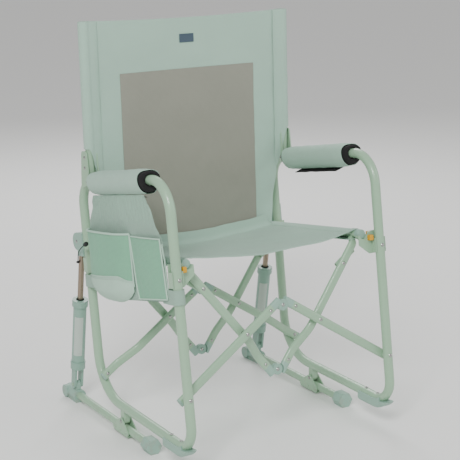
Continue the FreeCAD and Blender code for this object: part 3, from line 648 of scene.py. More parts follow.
def back_layout(u, v):
    """Side bands and a top band of cloth round the mesh window."""
    window, window_top = sizes().net_half, sizes().net_top
    s = lerp(-sizes().back_low, window_top, min(v / NET_ROWS, 1))
    half = back_half(s)
    x = along(((0, -half), (SIDE_COLUMNS, -window), (1 - SIDE_COLUMNS, window), (1, half)), u)
    if v > NET_ROWS:
        s = lerp(window_top, back_top(x), (v - NET_ROWS) / (1 - NET_ROWS))
    return x, s


def in_window(x, s):
    return abs(x) < sizes().net_half and s < sizes().net_top


def sleeve_surface(side):
    """Cloth that leaves the seam, goes round the back tube and comes back to the seam."""
    seam = sizes().back_seam - 0.004
    turn_start = radians(125)
    arc = SLEEVE_TURN * SLEEVE_R
    meet = (POST_X + SLEEVE_R * cos(turn_start), SLEEVE_R * sin(turn_start))

    def surface(a, s):
        if a < SLEEVE_RUN:
            x, depth = (lerp(seam, meet[0], a / SLEEVE_RUN), lerp(0.0062, meet[1], a / SLEEVE_RUN))
        elif a < SLEEVE_RUN + arc:
            turn = turn_start - (a - SLEEVE_RUN) / SLEEVE_R
            x, depth = POST_X + SLEEVE_R * cos(turn), SLEEVE_R * sin(turn)
        else:
            share = (a - SLEEVE_RUN - arc) / SLEEVE_RUN
            x = lerp(meet[0], seam - 0.006, share)
            depth = lerp(-meet[1], 0.0018, share)
        slack = abs(ripple(a, s, 0.05, 0.0012, 2.0 * side))
        return back_frame(side * (x + slack), s, depth + slack)
    return surface


def with_back(piece):
    """Ride the left side, with a mesh of its own."""
    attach(piece, "left_side")
    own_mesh(piece)
    return piece


def make_back():
    size = sizes()
    low, window_top, window = -size.back_low, size.net_top, size.net_half
    panel = lay_cloth("back_panel", 60, 90, back_layout, back_surface, size.cloth, in_window)
    behind = lifted(back_surface, 0.0012)
    net = lay_cloth("back_mesh", 70, 80,
                    rectangle(-window - 0.009, window + 0.009, low, window_top + 0.009),
                    behind, size.net)
    front = lifted(back_surface, -0.0012)
    edge = ([front(-window, lerp(low, window_top, i / 60)) for i in range(60)]
            + [front(lerp(-window, window, i / 60), window_top) for i in range(61)]
            + [front(window, lerp(window_top, low, i / 60)) for i in range(1, 61)])
    piping = tube("back_piping", edge, size.piping)

    def top_layout(u, v):
        x = lerp(-size.back_seam, size.back_seam, u)
        return x, back_top(x) - size.hem * (1 - v)

    def side_layout(side):
        def layout(u, v):
            s = lerp(low, GORE_FROM, v)
            return side * (back_half(s) - 0.012 * (1 - u)), s
        return layout

    hems = [lay_cloth("top_hem", 60, 4, top_layout, front, size.cloth)]
    hems += [lay_cloth("side_hem", 4, 50, side_layout(side), front, size.cloth) for side in (-1, 1)]
    hem = join("back_hems", hems)
    sewn = lifted(back_surface, -0.0021)
    rows = [line_of(sewn, (-0.236, back_top(0.236) - size.hem + 0.002),
                    (0.236, back_top(0.236) - size.hem + 0.002), 60)]
    for side in (-1, 1):
        for inset in (0.0035, 0.0075):
            rows.append(line_of(sewn, (side * (window + inset), low),
                                (side * (window + inset), window_top + inset)))
        rows.append([sewn(side * (back_half(s) - 0.011), s)
                     for s in (lerp(low, GORE_FROM, i / 40) for i in range(41))])
    for inset in (0.0035, 0.0075):
        rows.append(line_of(sewn, (-window, window_top + inset), (window, window_top + inset)))
    stitches = join("back_stitches", [stitch_row(row) for row in rows])
    for piece, finish in ((panel, "seat_cloth"), (net, "back_net"), (piping, "seat_cloth"),
                          (hem, "seat_cloth"), (stitches, "binding")):
        paint(piece, finish)
        with_back(piece)
    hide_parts("back_sling")


def sleeve_layout(wide, top):
    """The front layer tapers down to the panel's edge below the sleeve."""
    def layout(u, v):
        a = wide * u
        low = lerp(GORE_FROM, SLEEVE_FROM, ease(a, 0.0, 0.034))
        return a, lerp(low, top, v)
    return layout


def make_sleeves():
    size = sizes()
    wide = 2 * SLEEVE_RUN + SLEEVE_TURN * SLEEVE_R
    top = BACK_RUN + 0.004
    for name, side in SIDES.items():
        surface = sleeve_surface(side)
        sleeve = lay_cloth(f"back_sleeve_{name}", 60, 64, sleeve_layout(wide, top), surface,
                           size.cloth)
        finish_piece(sleeve, "seat_cloth", f"{name}_side")
        sewn = lifted(surface, 0.001 * side)
        rows = [line_of(sewn, (a, GORE_FROM + 0.003), (a, top)) for a in (0.0018, 0.0052)]
        stitches = join(f"sleeve_stitches_{name}", [stitch_row(row) for row in rows])
        finish_piece(stitches, "binding", f"{name}_side")
        plug = add_rod(f"tube_plug_{name}", back_frame(side * POST_X, BACK_RUN - 0.008, 0),
                       back_frame(0, 1, 0) - back_frame(0, 0, 0), 0.0086, 0.0095, 32, 0.001)
        finish_piece(plug, "fitting_plastic", f"{name}_side")


def make_label():
    """Plain woven label with a raised rim, sewn on the top band."""
    size = sizes()
    middle_s = lerp(size.net_top, BACK_RUN, 0.62)
    spot = back_surface(0, middle_s)
    facing = back_frame(0, 0, 1) - back_frame(0, 0, 0)
    up = back_frame(0, 1, 0) - back_frame(0, 0, 0)
    turn = Matrix((up.cross(facing), up, facing)).transposed().to_euler()
    deselect()
    bpy.ops.mesh.primitive_cube_add(size=1.0, location=spot + facing * 0.0016, rotation=turn,
                                    scale=(0.038, 0.020, 0.0012))
    piece = apply_place(call("back_label"))
    corners = piece.modifiers.new("corners", "BEVEL")
    corners.width = 0.0005
    corners.segments = 3
    select_faces(piece, lambda face: face.normal.dot(facing) > 0.9)
    bpy.ops.mesh.inset(thickness=0.0016, depth=0.0)
    bpy.ops.mesh.inset(thickness=0.0004, depth=-0.0004)
    leave_edit()
    smooth(apply_modifiers(piece))
    finish_piece(piece, "label", "left_side")
    with_back(piece)


# ------------------------------------------------------------------ seat
SEAT_WRAP_R = 0.0104
SEAT_TURN = radians(201)
SEAT_FLAP = 0.024
SEAT_Y = (0.048, 0.380, 0.420)      # front edge, start of the rise to the back, end


def seat_sag(y):
    return sizes().seat_sag + 0.007 * sin(pi * min((y - SEAT_Y[0]) / 0.34, 1))


def seat_surface(a, b):
    """Cloth over the rails; a runs across from the middle and b rearward."""
    side = -1 if a < 0 else 1
    reach = abs(a)
    start = radians(101)
    meet = (RAIL_X + SEAT_WRAP_R * cos(start), RAIL_Z + SEAT_WRAP_R * sin(start))
    arc = SEAT_TURN * SEAT_WRAP_R
    share = min(max(b - SEAT_Y[1], 0) / (SEAT_Y[2] - SEAT_Y[1]), 1)
    y = min(b, SEAT_Y[1]) + 0.014 * share
    rise = 0.0
    if reach <= meet[0]:
        x = reach
        z = meet[1] - seat_sag(min(b, SEAT_Y[1])) * (1 - (x / meet[0]) ** 2)
        free = 1 - ease(x, 0.2, meet[0])
        z -= 0.0016 * (1 - ease(abs(x - 0.2065), 0.0, 0.004))
        z += (ripple(side * x, b, 0.11, 0.004) + ripple(side * x, b, 0.035, 0.0012, 3.0)) * free
        inner = 1 - ease(x, 0.200, 0.216)
        bend = min(share / 0.7, 1) * pi / 2
        y = lerp(y, min(b, SEAT_Y[1]) + 0.010 * sin(bend), inner)
        rise = inner * (0.014 * (1 - cos(bend)) + max(share - 0.7, 0) * 0.05)
    elif reach <= meet[0] + arc:
        turn = start - (reach - meet[0]) / SEAT_WRAP_R
        x, z = RAIL_X + SEAT_WRAP_R * cos(turn), RAIL_Z + SEAT_WRAP_R * sin(turn)
    else:
        x = RAIL_X - (reach - meet[0] - arc)
        z = RAIL_Z - SEAT_WRAP_R - 0.0006
    return chair(side * x, y, z + rise)


def with_seat(piece, name):
    """Ride one upper arm pair, with a mesh of its own."""
    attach(piece, f"upper_arms_{name}")
    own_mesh(piece)


def make_seat():
    size = sizes()
    reach = RAIL_X + SEAT_WRAP_R * cos(radians(101)) + SEAT_TURN * SEAT_WRAP_R + SEAT_FLAP
    top = lifted(seat_surface, 0.0012)
    sewn = lifted(seat_surface, 0.0009)
    sewn_hem = lifted(seat_surface, 0.0021)
    for name, side in SIDES.items():
        low, high = sorted((0.0, side * reach))
        seat = lay_cloth(f"seat_cloth_{name}", 90, 110, rectangle(low, high, SEAT_Y[0], SEAT_Y[2]),
                         seat_surface, size.cloth)
        low, high = sorted((0.0, side * 0.262))
        hem = lay_cloth(f"seat_hem_{name}", 70, 5,
                        rectangle(low, high, SEAT_Y[0] - 0.0005, SEAT_Y[0] + 0.015), top, size.cloth)
        rows = [line_of(sewn_hem, (0, SEAT_Y[0] + 0.0135), (side * 0.226, SEAT_Y[0] + 0.0135)),
                line_of(sewn, (side * 0.2045, SEAT_Y[0] + 0.017), (side * 0.2045, 0.375)),
                line_of(sewn, (side * 0.2085, SEAT_Y[0] + 0.017), (side * 0.2085, 0.375)),
                line_of(sewn, (0, 0.378), (side * 0.2, 0.378))]
        stitches = join(f"seat_stitches_{name}", [stitch_row(row) for row in rows])
        for piece, finish in ((seat, "seat_cloth"), (hem, "seat_cloth"), (stitches, "binding")):
            paint(piece, finish)
            with_seat(piece, name)
        if name == "left":
            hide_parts("seat_sling")


# ------------------------------------------------------------------ armrests
COVER_WIDE = 0.157                  # cloth of a cover, measured once round the foam
CLOSURE_WIDE = 0.023                # width of the hook strip that closes a cover


def arm_frame(side, x, b, lift):
    """Point x across, b along the armrest tube and lift above its axis."""
    y = ARM_TOP[0] + b * cos(ARM_SLOPE) - lift * sin(ARM_SLOPE)
    z = ARM_TOP[1] + b * sin(ARM_SLOPE) + lift * cos(ARM_SLOPE)
    return chair(side * POST_X + x, y, z)


def pad_section(turn, grow):
    """Outline of the armrest: flat on top, deeper and narrower below."""
    across, up = cos(turn), sin(turn)
    power = 0.74
    x = abs(across) ** power * (1 if across > 0 else -1) * (0.026 + grow)
    z = abs(up) ** power * (0.020 + grow if up > 0 else -0.0265 - grow)
    return x * (1 - 0.2 * max(-up, 0)), z


def make_foam(name, side):
    """Foam sleeve: a ring drawn out along the tube, with round rims."""
    deselect()
    bpy.ops.mesh.primitive_torus_add(major_segments=64, minor_segments=60, major_radius=1.0,
                                     minor_radius=0.5, location=(0, 0, 0))
    piece = call(f"armrest_foam_{name}")
    start, end = ARMREST[0] - ARM_TOP[0], ARMREST[1] - ARM_TOP[0]
    hole = TUBE_R + 0.0004
    for vertex in piece.data.vertices:
        turn = atan2(vertex.co.y, vertex.co.x)
        around = atan2(vertex.co.z, hypot(vertex.co.x, vertex.co.y) - 1.0)
        wide, run = cos(around), sin(around)
        share = 0.5 + 0.5 * abs(wide) ** 0.25 * (1 if wide > 0 else -1)
        b = lerp(start, end, 0.5 + 0.5 * abs(run) ** 0.55 * (1 if run > 0 else -1))
        x, z = pad_section(turn, ripple(b, turn, 0.02, 0.0005))
        vertex.co = arm_frame(side, lerp(hole * cos(turn), x, share), b,
                              lerp(hole * sin(turn), z, share))
    activate(piece)
    bpy.ops.object.mode_set(mode="EDIT")
    bpy.ops.mesh.select_all(action="SELECT")
    bpy.ops.mesh.normals_make_consistent(inside=False)
    leave_edit()
    smooth(piece, 50)
    return piece


def cover_surface(side, grow):
    """Cloth wrapped once round the foam, with a lapped slit underneath."""
    start, end = ARMREST[0] - ARM_TOP[0], ARMREST[1] - ARM_TOP[0]

    def surface(a, b):
        along_share = (b - start) / (end - start)
        open_front = 1 - ease(along_share, 0.12, 0.42)
        first = lerp(radians(-112), radians(-74), open_front)
        turn = lerp(first, radians(256), a / COVER_WIDE)
        ends = ease(along_share, 0.03, 0.12) * (1 - ease(along_share, 0.88, 0.97))
        slack = 0.0016 * ends + ripple(b, turn * 0.02, 0.022, 0.0012, 5.0 * side) * ends
        lap = 0.0012 * ease(turn, radians(235), radians(250))
        x, z = pad_section(turn, grow + slack + lap)
        return arm_frame(side, side * x, b, z)
    return surface


def closure_surface(side):
    """Hook strip under the slit, hanging a little towards the seat."""
    def surface(a, b):
        share = a / CLOSURE_WIDE
        return arm_frame(side, side * lerp(-0.015, 0.007, share), b,
                         lerp(-0.0385, -0.0315, share) + ripple(b, side, 0.03, 0.0012))
    return surface


def make_armrests():
    size = sizes()
    start, end = ARMREST[0] - ARM_TOP[0], ARMREST[1] - ARM_TOP[0]
    for name, side in SIDES.items():
        foam = finish_piece(make_foam(name, side), "foam", f"{name}_side")
        surface = cover_surface(side, 0.0016)
        cover = lay_cloth(f"armrest_cover_cloth_{name}", 90, 80,
                          rectangle(0, COVER_WIDE, start + size.foam_show, end - size.foam_show),
                          surface, size.cloth)
        strip = lay_cloth(f"armrest_closure_{name}", 8, 60,
                          rectangle(0, CLOSURE_WIDE, start + 0.055, end - 0.045),
                          closure_surface(side), 0.0012)
        sewn = lifted(surface, 0.0009 * side)
        rows = [line_of(sewn, (0, start + 0.016), (0, end - 0.016))]
        for b in (start + size.foam_show + 0.005, end - size.foam_show - 0.005):
            rows.append(line_of(sewn, (0.004, b), (COVER_WIDE - 0.004, b), 60))
        stitches = join(f"armrest_stitches_{name}", [stitch_row(row) for row in rows])
        finish_piece(cover, "seat_cloth", f"{name}_side")
        finish_piece(strip, "foam", f"{name}_side")
        finish_piece(stitches, "binding", f"{name}_side")
        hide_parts(f"armrest_pad_{name}")
        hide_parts(f"armrest_cover_{name}")


# ------------------------------------------------------------------ side pocket
POCKET_X = -0.2752
PANEL_FRONT = ((0.0, 0.029), (0.55, 0.038), (1.0, 0.100))
PANEL_REAR = ((0.0, 0.404), (0.55, 0.402), (1.0, 0.350))
PANEL_LOW = ((0.0, 0.213), (0.18, 0.206), (0.73, 0.190), (1.0, 0.203))
CUP_Y = (0.186, 0.390)
CUP_Z = (0.190, 0.347)
CUP_BULGE = 0.0255


def pocket_layout(u, v):
    low, high = along(PANEL_LOW, u), lerp(0.436, 0.4265, u)
    return lerp(along(PANEL_FRONT, v), along(PANEL_REAR, v), u), lerp(low, high, v)


def panel_surface(y, z):
    """Hanging cloth with gathers that fan out from the armrest."""
    gather = ease(z, 0.30, 0.43) * 0.0035 * (0.5 + 0.5 * sin(((y - 0.23) / (0.6 - z)) * 150))
    folds = abs(ripple(y, z, 0.05, 0.003)) + abs(ripple(y, z, 0.02, 0.0008, 7.0))
    return chair(POCKET_X - gather - folds, y, z)


def net_pocket_layout(u, v):
    low, high = lerp(0.217, 0.206, u), lerp(0.345, 0.343, u)
    return lerp(lerp(0.032, 0.042, v), lerp(0.160, 0.182, v), u), lerp(low, high, v)


def net_pocket_surface(y, z):
    u, v = (y - 0.035) / 0.14, (z - 0.21) / 0.13
    puff = 0.007 * sin(pi * min(max(u, 0), 1)) * sin(pi * min(max(v * 0.8, 0), 1))
    return chair(POCKET_X - 0.0048 - puff - abs(ripple(y, z, 0.03, 0.002, 1.0)), y, z)


def cup_low(a):
    """Lower edge of the drink pocket, rounded up at both corners."""
    share = (a - CUP_Y[0]) / (CUP_Y[1] - CUP_Y[0])
    return CUP_Z[0] + 0.030 * abs(2 * share - 1) ** 3


def cup_layout(u, v):
    a = lerp(*CUP_Y, u)
    return a, lerp(cup_low(a), CUP_Z[1], v)


def cup_surface(a, z):
    """Outward bulging wall of the drink pocket; a runs from its front to its rear edge."""
    share = min(max((a - CUP_Y[0]) / (CUP_Y[1] - CUP_Y[0]), 0), 1)
    v = min(max((z - cup_low(a)) / (CUP_Z[1] - cup_low(a)), 0), 1)
    rounded = max(1 - abs(2 * share - 1) ** 2.6, 0) ** 0.6
    swell = min((v * 7) ** 0.5, 1) * (0.9 + 0.1 * sin(pi * v))
    folds = ripple(a, z, 0.035, 0.0022, 6.0) * min(v * 3, 1) * rounded
    return chair(POCKET_X - 0.0042 - CUP_BULGE * rounded * swell * 0.93 + folds, a, z)


def strap_points(post_y, towards):
    """Strap path seen from above: off the panel, round the post and back."""
    reach = 0.0129
    outer = -POST_X - reach
    points = [(outer + 0.0018, post_y + towards * 0.050), (outer, post_y + towards * 0.024)]
    for i in range(25):
        turn = pi + pi * i / 24
        points.append((-POST_X + reach * cos(turn), post_y + towards * reach * sin(turn)))
    return points + [(-POST_X + reach, post_y + towards * 0.012),
                     (-POST_X + 0.003, post_y + towards * 0.026),
                     (outer + 0.0045, post_y + towards * 0.036)]


def make_strap(name, post_y, towards, low, high):
    points = [Vector(p) for p in strap_points(post_y, towards)]
    runs = [0.0]
    for a, b in zip(points, points[1:]):
        runs.append(runs[-1] + (b - a).length)

    def surface(a, z):
        for i in range(len(runs) - 1):
            if a <= runs[i + 1] + 1e-9:
                spot = points[i].lerp(points[i + 1], (a - runs[i]) / (runs[i + 1] - runs[i]))
                return chair(spot.x, spot.y + (0 if towards > 0 else -0.007 * (z - 0.22) / 0.5), z)
        return chair(*points[-1], z)
    strap = lay_cloth(name, 70, 6, rectangle(0, runs[-1], low, high), surface, 0.0011)
    return strap


def make_pocket():
    size = sizes()
    panel = lay_cloth("pocket_cloth_panel", 90, 80, pocket_layout, panel_surface, size.cloth)
    net = lay_cloth("pocket_net_front", 40, 40, net_pocket_layout, net_pocket_surface, size.net)
    cup = lay_cloth("drink_pocket_net", 70, 50, cup_layout, cup_surface, size.net)

    def band_layout(u, v):
        a = lerp(*CUP_Y, u)
        droop = 0.012 * (1 - ease(u, 0.0, 0.2))
        return a, lerp(cup_low(a) - 0.0015, lerp(0.256, 0.244, u) - droop, v)

    band = lay_cloth("drink_pocket_band", 70, 20, band_layout, lifted(cup_surface, -0.0011),
                     size.cloth)

    def floor_surface(a, share):
        wall, inner = cup_surface(a, cup_low(a) + 0.006), chair(POCKET_X - 0.004, a, cup_low(a))
        return inner.lerp(wall, share * 75) + Vector((0, 0, -0.002 * sin(pi * share * 75)))

    base = lay_cloth("drink_pocket_base", 60, 8, rectangle(*CUP_Y, 0, 1 / 75), floor_surface,
                     size.cloth)
    edge = lifted(net_pocket_surface, -0.0008)
    around = ([edge(*net_pocket_layout(i / 30, 0)) for i in range(30)]
              + [edge(*net_pocket_layout(1, i / 30)) for i in range(30)]
              + [edge(*net_pocket_layout(1 - i / 30, 1)) for i in range(30)]
              + [edge(*net_pocket_layout(0, 1 - i / 30)) for i in range(30)])
    cup_edge = lifted(cup_surface, -0.0006)
    bindings = [tube("binding", around, 0.0018, closed=True),
                tube("binding", line_of(cup_edge, (CUP_Y[0], CUP_Z[1]), (CUP_Y[1], CUP_Z[1]), 60),
                     0.0026),
                tube("binding", line_of(cup_edge, (CUP_Y[0] - 0.001, CUP_Z[0] + 0.04),
                                        (CUP_Y[0] - 0.001, CUP_Z[1]), 30), 0.0022),
                tube("binding", line_of(lifted(panel_surface, -0.001), (0.0305, 0.216),
                                        (0.0395, 0.334), 20), 0.0016)]
    binding = join("pocket_bindings", bindings)
    sewn = lifted(cup_surface, -0.0022)
    rows = [[sewn(*band_layout(i / 50, 0.94)) for i in range(51)],
            [sewn(*band_layout(i / 50, 0.88)) for i in range(51)]]
    stitches = join("pocket_stitches", [stitch_row(row) for row in rows])
    straps = [make_strap("pocket_strap_front", 0.011, 1, 0.206, 0.238),
              make_strap("pocket_strap_rear", rear_post_y(0.22), -1, 0.207, 0.236)]
    finishes = ((panel, "pocket_cloth"), (net, "pocket_net"), (cup, "pocket_net"),
                (band, "binding"), (base, "pocket_cloth"), (binding, "binding"),
                (stitches, "pocket_cloth"), (straps[0], "pocket_cloth"),
                (straps[1], "pocket_cloth"))
    for piece, finish in finishes:
        finish_piece(piece, finish, "left_side")
    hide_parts("pocket_panel")
    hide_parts("drink_pocket")


# ------------------------------------------------------------------ drawcord
CORD_R = 0.0011
CORD_POINTS = ((-0.290, 0.1324, 0.4312), (-0.288, 0.1541, 0.4209), (-0.287, 0.1749, 0.4046),
               (-0.281, 0.1907, 0.3881), (-0.276, 0.2025, 0.3722))


def make_cord_line():
    piece, spline = curve_through("drawcord_line", CORD_POINTS, "NURBS", CORD_R, 4)
    spline.order_u = 3
    spline.use_endpoint_u = True
    spline.resolution_u = 12
    return piece


def make_knot(centre):
    """Tight overhand knot."""
    points = []
    for i in range(72):
        t = 2 * pi * i / 72
        points.append(Vector(centre) + 0.0011 * Vector((
            sin(t) + 2 * sin(2 * t), cos(t) - 2 * cos(2 * t), -1.6 * sin(3 * t))))
    return tube("drawcord_knot", points, CORD_R, closed=True)


def make_cord_lock():
    """Barrel toggle with grip ridges and a sprung button."""
    end, before = Vector(CORD_POINTS[0]), Vector(CORD_POINTS[1])
    way = (before - end).normalized()
    back = end - way * 0.016
    parts = [add_rod("barrel", back, way, 0.0049, 0.0125, 32, 0.0008),
             add_rod("button", end - way * 0.0035, way, 0.0037, 0.0035, 24, 0.0007)]
    parts += [add_ring("ridge", back + way * (0.003 + 0.0022 * i), way, 0.0049, 0.0005, 32)
              for i in range(4)]
    return join("cord_lock_barrel", parts)


def make_drawcord():
    line = finish_piece(make_cord_line(), "cord_black", "left_side")
    knot = finish_piece(make_knot(CORD_POINTS[-1]), "cord_black", "left_side")
    lock = finish_piece(make_cord_lock(), "toggle_plastic", "left_side")
    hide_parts("drawcord")
    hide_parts("cord_lock")


# ------------------------------------------------------------------ trim on the frame
def make_hub_rings():
    """Concentric rings moulded on the two open faces of each hub."""
    way = chair_way(0, 1, 0)
    for level, pairs in HUB_FACES.items():
        kind = "lower_arms" if level == "upper" else "upper_arms"
        for name, face in (("left", 0), ("right", 1)):
            rings = []
            for pair in pairs:
                centre = chair(0, pair[face], HUB_Z[level])
                rings += [add_ring("ring", centre, way, radius, 0.00055)
                          for radius in (0.0072, 0.0108)]
            piece = join(f"{level}_hub_rings_{name}", rings)
            finish_piece(piece, "fitting_plastic", f"{kind}_{name}")


def make_screw(name, seat, way):
    """Pan-head screw with a six-sided recess."""
    piece = add_rod(name, seat, way, 0.0046, 0.0022, 24, 0.0009)
    select_faces(piece, lambda face: face.normal.dot(way) > 0.99)
    bpy.ops.mesh.inset(thickness=0.0018, depth=0.0)
    bpy.ops.mesh.extrude_region_move(TRANSFORM_OT_translate={"value": way * -0.0014})
    leave_edit()
    return piece


def make_frame_screws():
    """Screws through the foot glides."""
    slope = atan2(0.067, 0.432)
    up = chair_way(0, -sin(slope), cos(slope))
    for name, side in SIDES.items():
        screws = []
        for run in (0.052, 0.096):
            y, z = 0.011 + run * cos(slope), -0.118 + run * sin(slope)
            screws.append(make_screw("screw", chair(side * POST_X, y, z) + up * (TUBE_R - 0.0004), up))
        piece = join(f"glide_screws_{name}", screws)
        finish_piece(piece, "rivet_steel", f"{name}_side")


def make_latch_lips():
    """Bright lips of the latch tabs, above the front saddles."""
    for name, side in SIDES.items():
        deselect()
        bpy.ops.mesh.primitive_cube_add(size=1.0, location=chair(side * 0.2445, 0.0165, 0.277),
                                        rotation=(-LEAN, 0, 0), scale=(0.0105, 0.013, 0.013))
        lip = apply_place(call(f"latch_lip_{name}"))
        corners = lip.modifiers.new("corners", "BEVEL")
        corners.width = 0.0022
        corners.segments = 4
        smooth(apply_modifiers(lip))
        finish_piece(lip, "latch_plastic", f"{name}_side")


def make_strut_trim():
    """Wiper seal, collar rings and a plain strip on each strut cylinder."""
    top = chair(0, 0.467, 0.313)
    foot = Vector((0, 0.261, 0.045))
    down = (foot - top).normalized()
    across = Vector((1, 0, 0))
    forward = across.cross(down)
    for name, side in SIDES.items():
        centre = top + across * (side * POST_X)
        body = f"strut_cylinder_{name}"
        seal = add_ring(f"strut_seal_{name}", centre + down * 0.1535, down, 0.0086, 0.0014)
        finish_piece(seal, "foam", body)
        grooves = [add_ring("groove", centre + down * run, down, radius, 0.0008)
                   for run, radius in ((0.158, 0.0188), (0.167, 0.0188), (0.324, 0.0178))]
        grooves = join(f"strut_rings_{name}", grooves)
        finish_piece(grooves, "strut_plastic", body)

        def surface(a, b, centre=centre):
            turn = a / 0.0163
            out = across * cos(turn) + forward * sin(turn)
            return centre + down * b + out * 0.01635

        facing = atan2(-forward.dot(Vector((0, 1, 0))), -0.62)
        mid = facing * 0.0163
        strip = lay_cloth(f"strut_strip_{name}", 14, 30,
                          rectangle(mid - 0.011, mid + 0.011, 0.196, 0.300), surface, 0.0004)
        finish_piece(strip, "strip", body)


def finish_frame():
    """Give every part of the frame its finish."""
    make_finishes()
    for part in frame["record"]["subparts"]:
        node = frame["nodes"][part["node"]]
        finish = bpy.data.materials[part["material_slot"] + "_finish"]
        if not node.data.materials:
            node.data.materials.append(finish)
        for index in range(len(node.data.materials)):
            node.data.materials[index] = finish


# ------------------------------------------------------------------ stage
CAMERA_PLACE = (-1.594, -2.666, 1.234)
CAMERA_TURN = radians(31.48)
CAMERA_DOWN = radians(15.6)
CAMERA_ROLL = radians(-0.58)
CAMERA_LENS = 107.05
CAMERA_SHIFT = (-0.0118, 0.078)


def add_light(name, place, target, width, power):
    light = bpy.data.lights.new(name, "AREA")
    light.size = width
    light.energy = power
    lamp = bpy.data.objects.new(name, light)
    lamp.location = place
    lamp.rotation_euler = (Vector(target) - Vector(place)).to_track_quat("-Z", "Y").to_euler()
    bpy.context.scene.collection.objects.link(lamp)


def add_camera():
    camera = bpy.data.objects.new("camera", bpy.data.cameras.new("camera"))
    bpy.context.scene.collection.objects.link(camera)
    turn = (Matrix.Rotation(-CAMERA_TURN, 4, "Z") @ Matrix.Rotation(pi / 2 - CAMERA_DOWN, 4, "X")
            @ Matrix.Rotation(CAMERA_ROLL, 4, "Z"))
    camera.matrix_world = Matrix.Translation(CAMERA_PLACE) @ turn
    camera.data.lens = CAMERA_LENS
    camera.data.sensor_width = 36.0
    camera.data.shift_x, camera.data.shift_y = CAMERA_SHIFT
    bpy.context.scene.camera = camera


def make_stage():
    width = sizes().floor
    deselect()
    bpy.ops.mesh.primitive_plane_add(size=width, location=(0, 0, 0))
    floor = call("studio_floor")
    material = bpy.data.materials.new("studio_floor")
    material.use_nodes = True
    shader = material.node_tree.nodes["Principled BSDF"]
    shader.inputs["Base Color"].default_value = (*colours().floor, 1.0)
    shader.inputs["Roughness"].default_value = 0.9
    floor.data.materials.append(material)
    world = bpy.data.worlds.new("studio")
    world.use_nodes = True
    sky = world.node_tree.nodes["Background"]
    sky.inputs["Color"].default_value = (1.0, 1.0, 1.0, 1.0)
    sky.inputs["Strength"].default_value = 0.65
    bpy.context.scene.world = world
    target = (0, 0, 0.45)
    add_light("key", (-2.4, -2.6, 3.2), target, 1.4, 150)
    add_light("fill", (2.8, -1.8, 1.8), target, 2.5, 30)
    add_light("rim", (1.2, 2.6, 2.4), target, 1.8, 55)
    add_camera()


# ------------------------------------------------------------------ operators
class Step:
    """Runs one modelling step."""

    def execute(self, context):
        self.work()
        return {"FINISHED"}


class CHAIR_OT_stage(Step, bpy.types.Operator):
    """Floor, lights and camera"""
    bl_idname = "chair.stage"
    bl_label = "Stage"
    work = staticmethod(make_stage)


class CHAIR_OT_finishes(Step, bpy.types.Operator):
    """Finishes, and the ones of the frame's own parts"""
    bl_idname = "chair.finishes"
    bl_label = "Finishes"
    work = staticmethod(finish_frame)


class CHAIR_OT_drawcord(Step, bpy.types.Operator):
    """Drawcord with its knot and cord lock"""
    bl_idname = "chair.drawcord"
    bl_label = "Drawcord"
    work = staticmethod(make_drawcord)


class CHAIR_OT_back(Step, bpy.types.Operator):
    """Back panel with its mesh window, hems, piping and stitches"""
    bl_idname = "chair.back"
    bl_label = "Back"
    work = staticmethod(make_back)


class CHAIR_OT_sleeves(Step, bpy.types.Operator):
    """Sleeves over the back tubes, and the tubes' plugs"""
    bl_idname = "chair.sleeves"
    bl_label = "Back sleeves"
    work = staticmethod(make_sleeves)


class CHAIR_OT_label(Step, bpy.types.Operator):
    """Plain sewn label"""
    bl_idname = "chair.label"
    bl_label = "Label"
    work = staticmethod(make_label)


class CHAIR_OT_seat(Step, bpy.types.Operator):
    """Seat cloth in two halves"""
    bl_idname = "chair.seat"
    bl_label = "Seat"
    work = staticmethod(make_seat)


class CHAIR_OT_armrests(Step, bpy.types.Operator):
    """Foam sleeves, their cloth covers and closures"""
    bl_idname = "chair.armrests"
    bl_label = "Armrests"
    work = staticmethod(make_armrests)


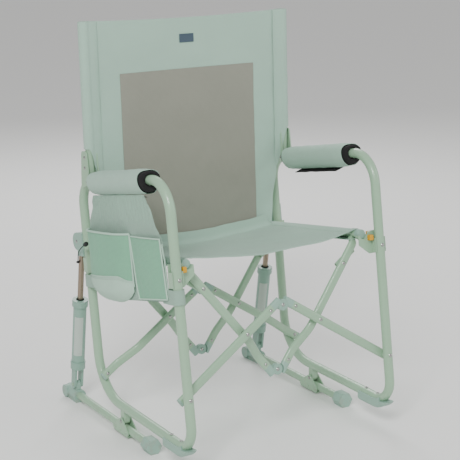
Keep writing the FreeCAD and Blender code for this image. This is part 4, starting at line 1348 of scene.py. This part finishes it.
class CHAIR_OT_pocket(Step, bpy.types.Operator):
    """Side panel with its drink pocket, mesh pocket and straps"""
    bl_idname = "chair.pocket"
    bl_label = "Side pocket"
    work = staticmethod(make_pocket)


class CHAIR_OT_hub_rings(Step, bpy.types.Operator):
    """Rings moulded on the scissor hubs"""
    bl_idname = "chair.hub_rings"
    bl_label = "Hub rings"
    work = staticmethod(make_hub_rings)


class CHAIR_OT_screws(Step, bpy.types.Operator):
    """Screws of the foot glides"""
    bl_idname = "chair.screws"
    bl_label = "Screws"

    def work(self):
        make_frame_screws()
        make_latch_lips()


class CHAIR_OT_strut_trim(Step, bpy.types.Operator):
    """Seals, rings and strips of the rocking struts"""
    bl_idname = "chair.strut_trim"
    bl_label = "Strut trim"
    work = staticmethod(make_strut_trim)


OPERATORS = (CHAIR_OT_stage, CHAIR_OT_finishes, CHAIR_OT_drawcord, CHAIR_OT_back,
             CHAIR_OT_sleeves, CHAIR_OT_label, CHAIR_OT_seat, CHAIR_OT_armrests,
             CHAIR_OT_pocket, CHAIR_OT_hub_rings, CHAIR_OT_screws, CHAIR_OT_strut_trim)


class CHAIR_PT_panel(bpy.types.Panel):
    """Lists the sizes, the colours and the pieces"""
    bl_idname = "CHAIR_PT_panel"
    bl_label = "Camp Rocking Chair"
    bl_space_type = "VIEW_3D"
    bl_region_type = "UI"
    bl_category = "Chair"

    def draw(self, context):
        for operator in OPERATORS:
            self.layout.operator(operator.bl_idname)
        for group in (context.scene.chair_sizes, context.scene.chair_colours):
            column = self.layout.column()
            for name in group.__annotations__:
                column.prop(group, name)


CLASSES = (ChairSizes, ChairColours, *OPERATORS, CHAIR_PT_panel)


def register():
    for kind in CLASSES:
        bpy.utils.register_class(kind)
    bpy.types.Scene.chair_sizes = PointerProperty(type=ChairSizes)
    bpy.types.Scene.chair_colours = PointerProperty(type=ChairColours)


def unregister():
    del bpy.types.Scene.chair_sizes
    del bpy.types.Scene.chair_colours
    for kind in reversed(CLASSES):
        bpy.utils.unregister_class(kind)


def main():
    register()
    for operator in OPERATORS:
        group, name = operator.bl_idname.split(".")
        getattr(getattr(bpy.ops, group), name)()


if __name__ == "__main__":
    main()
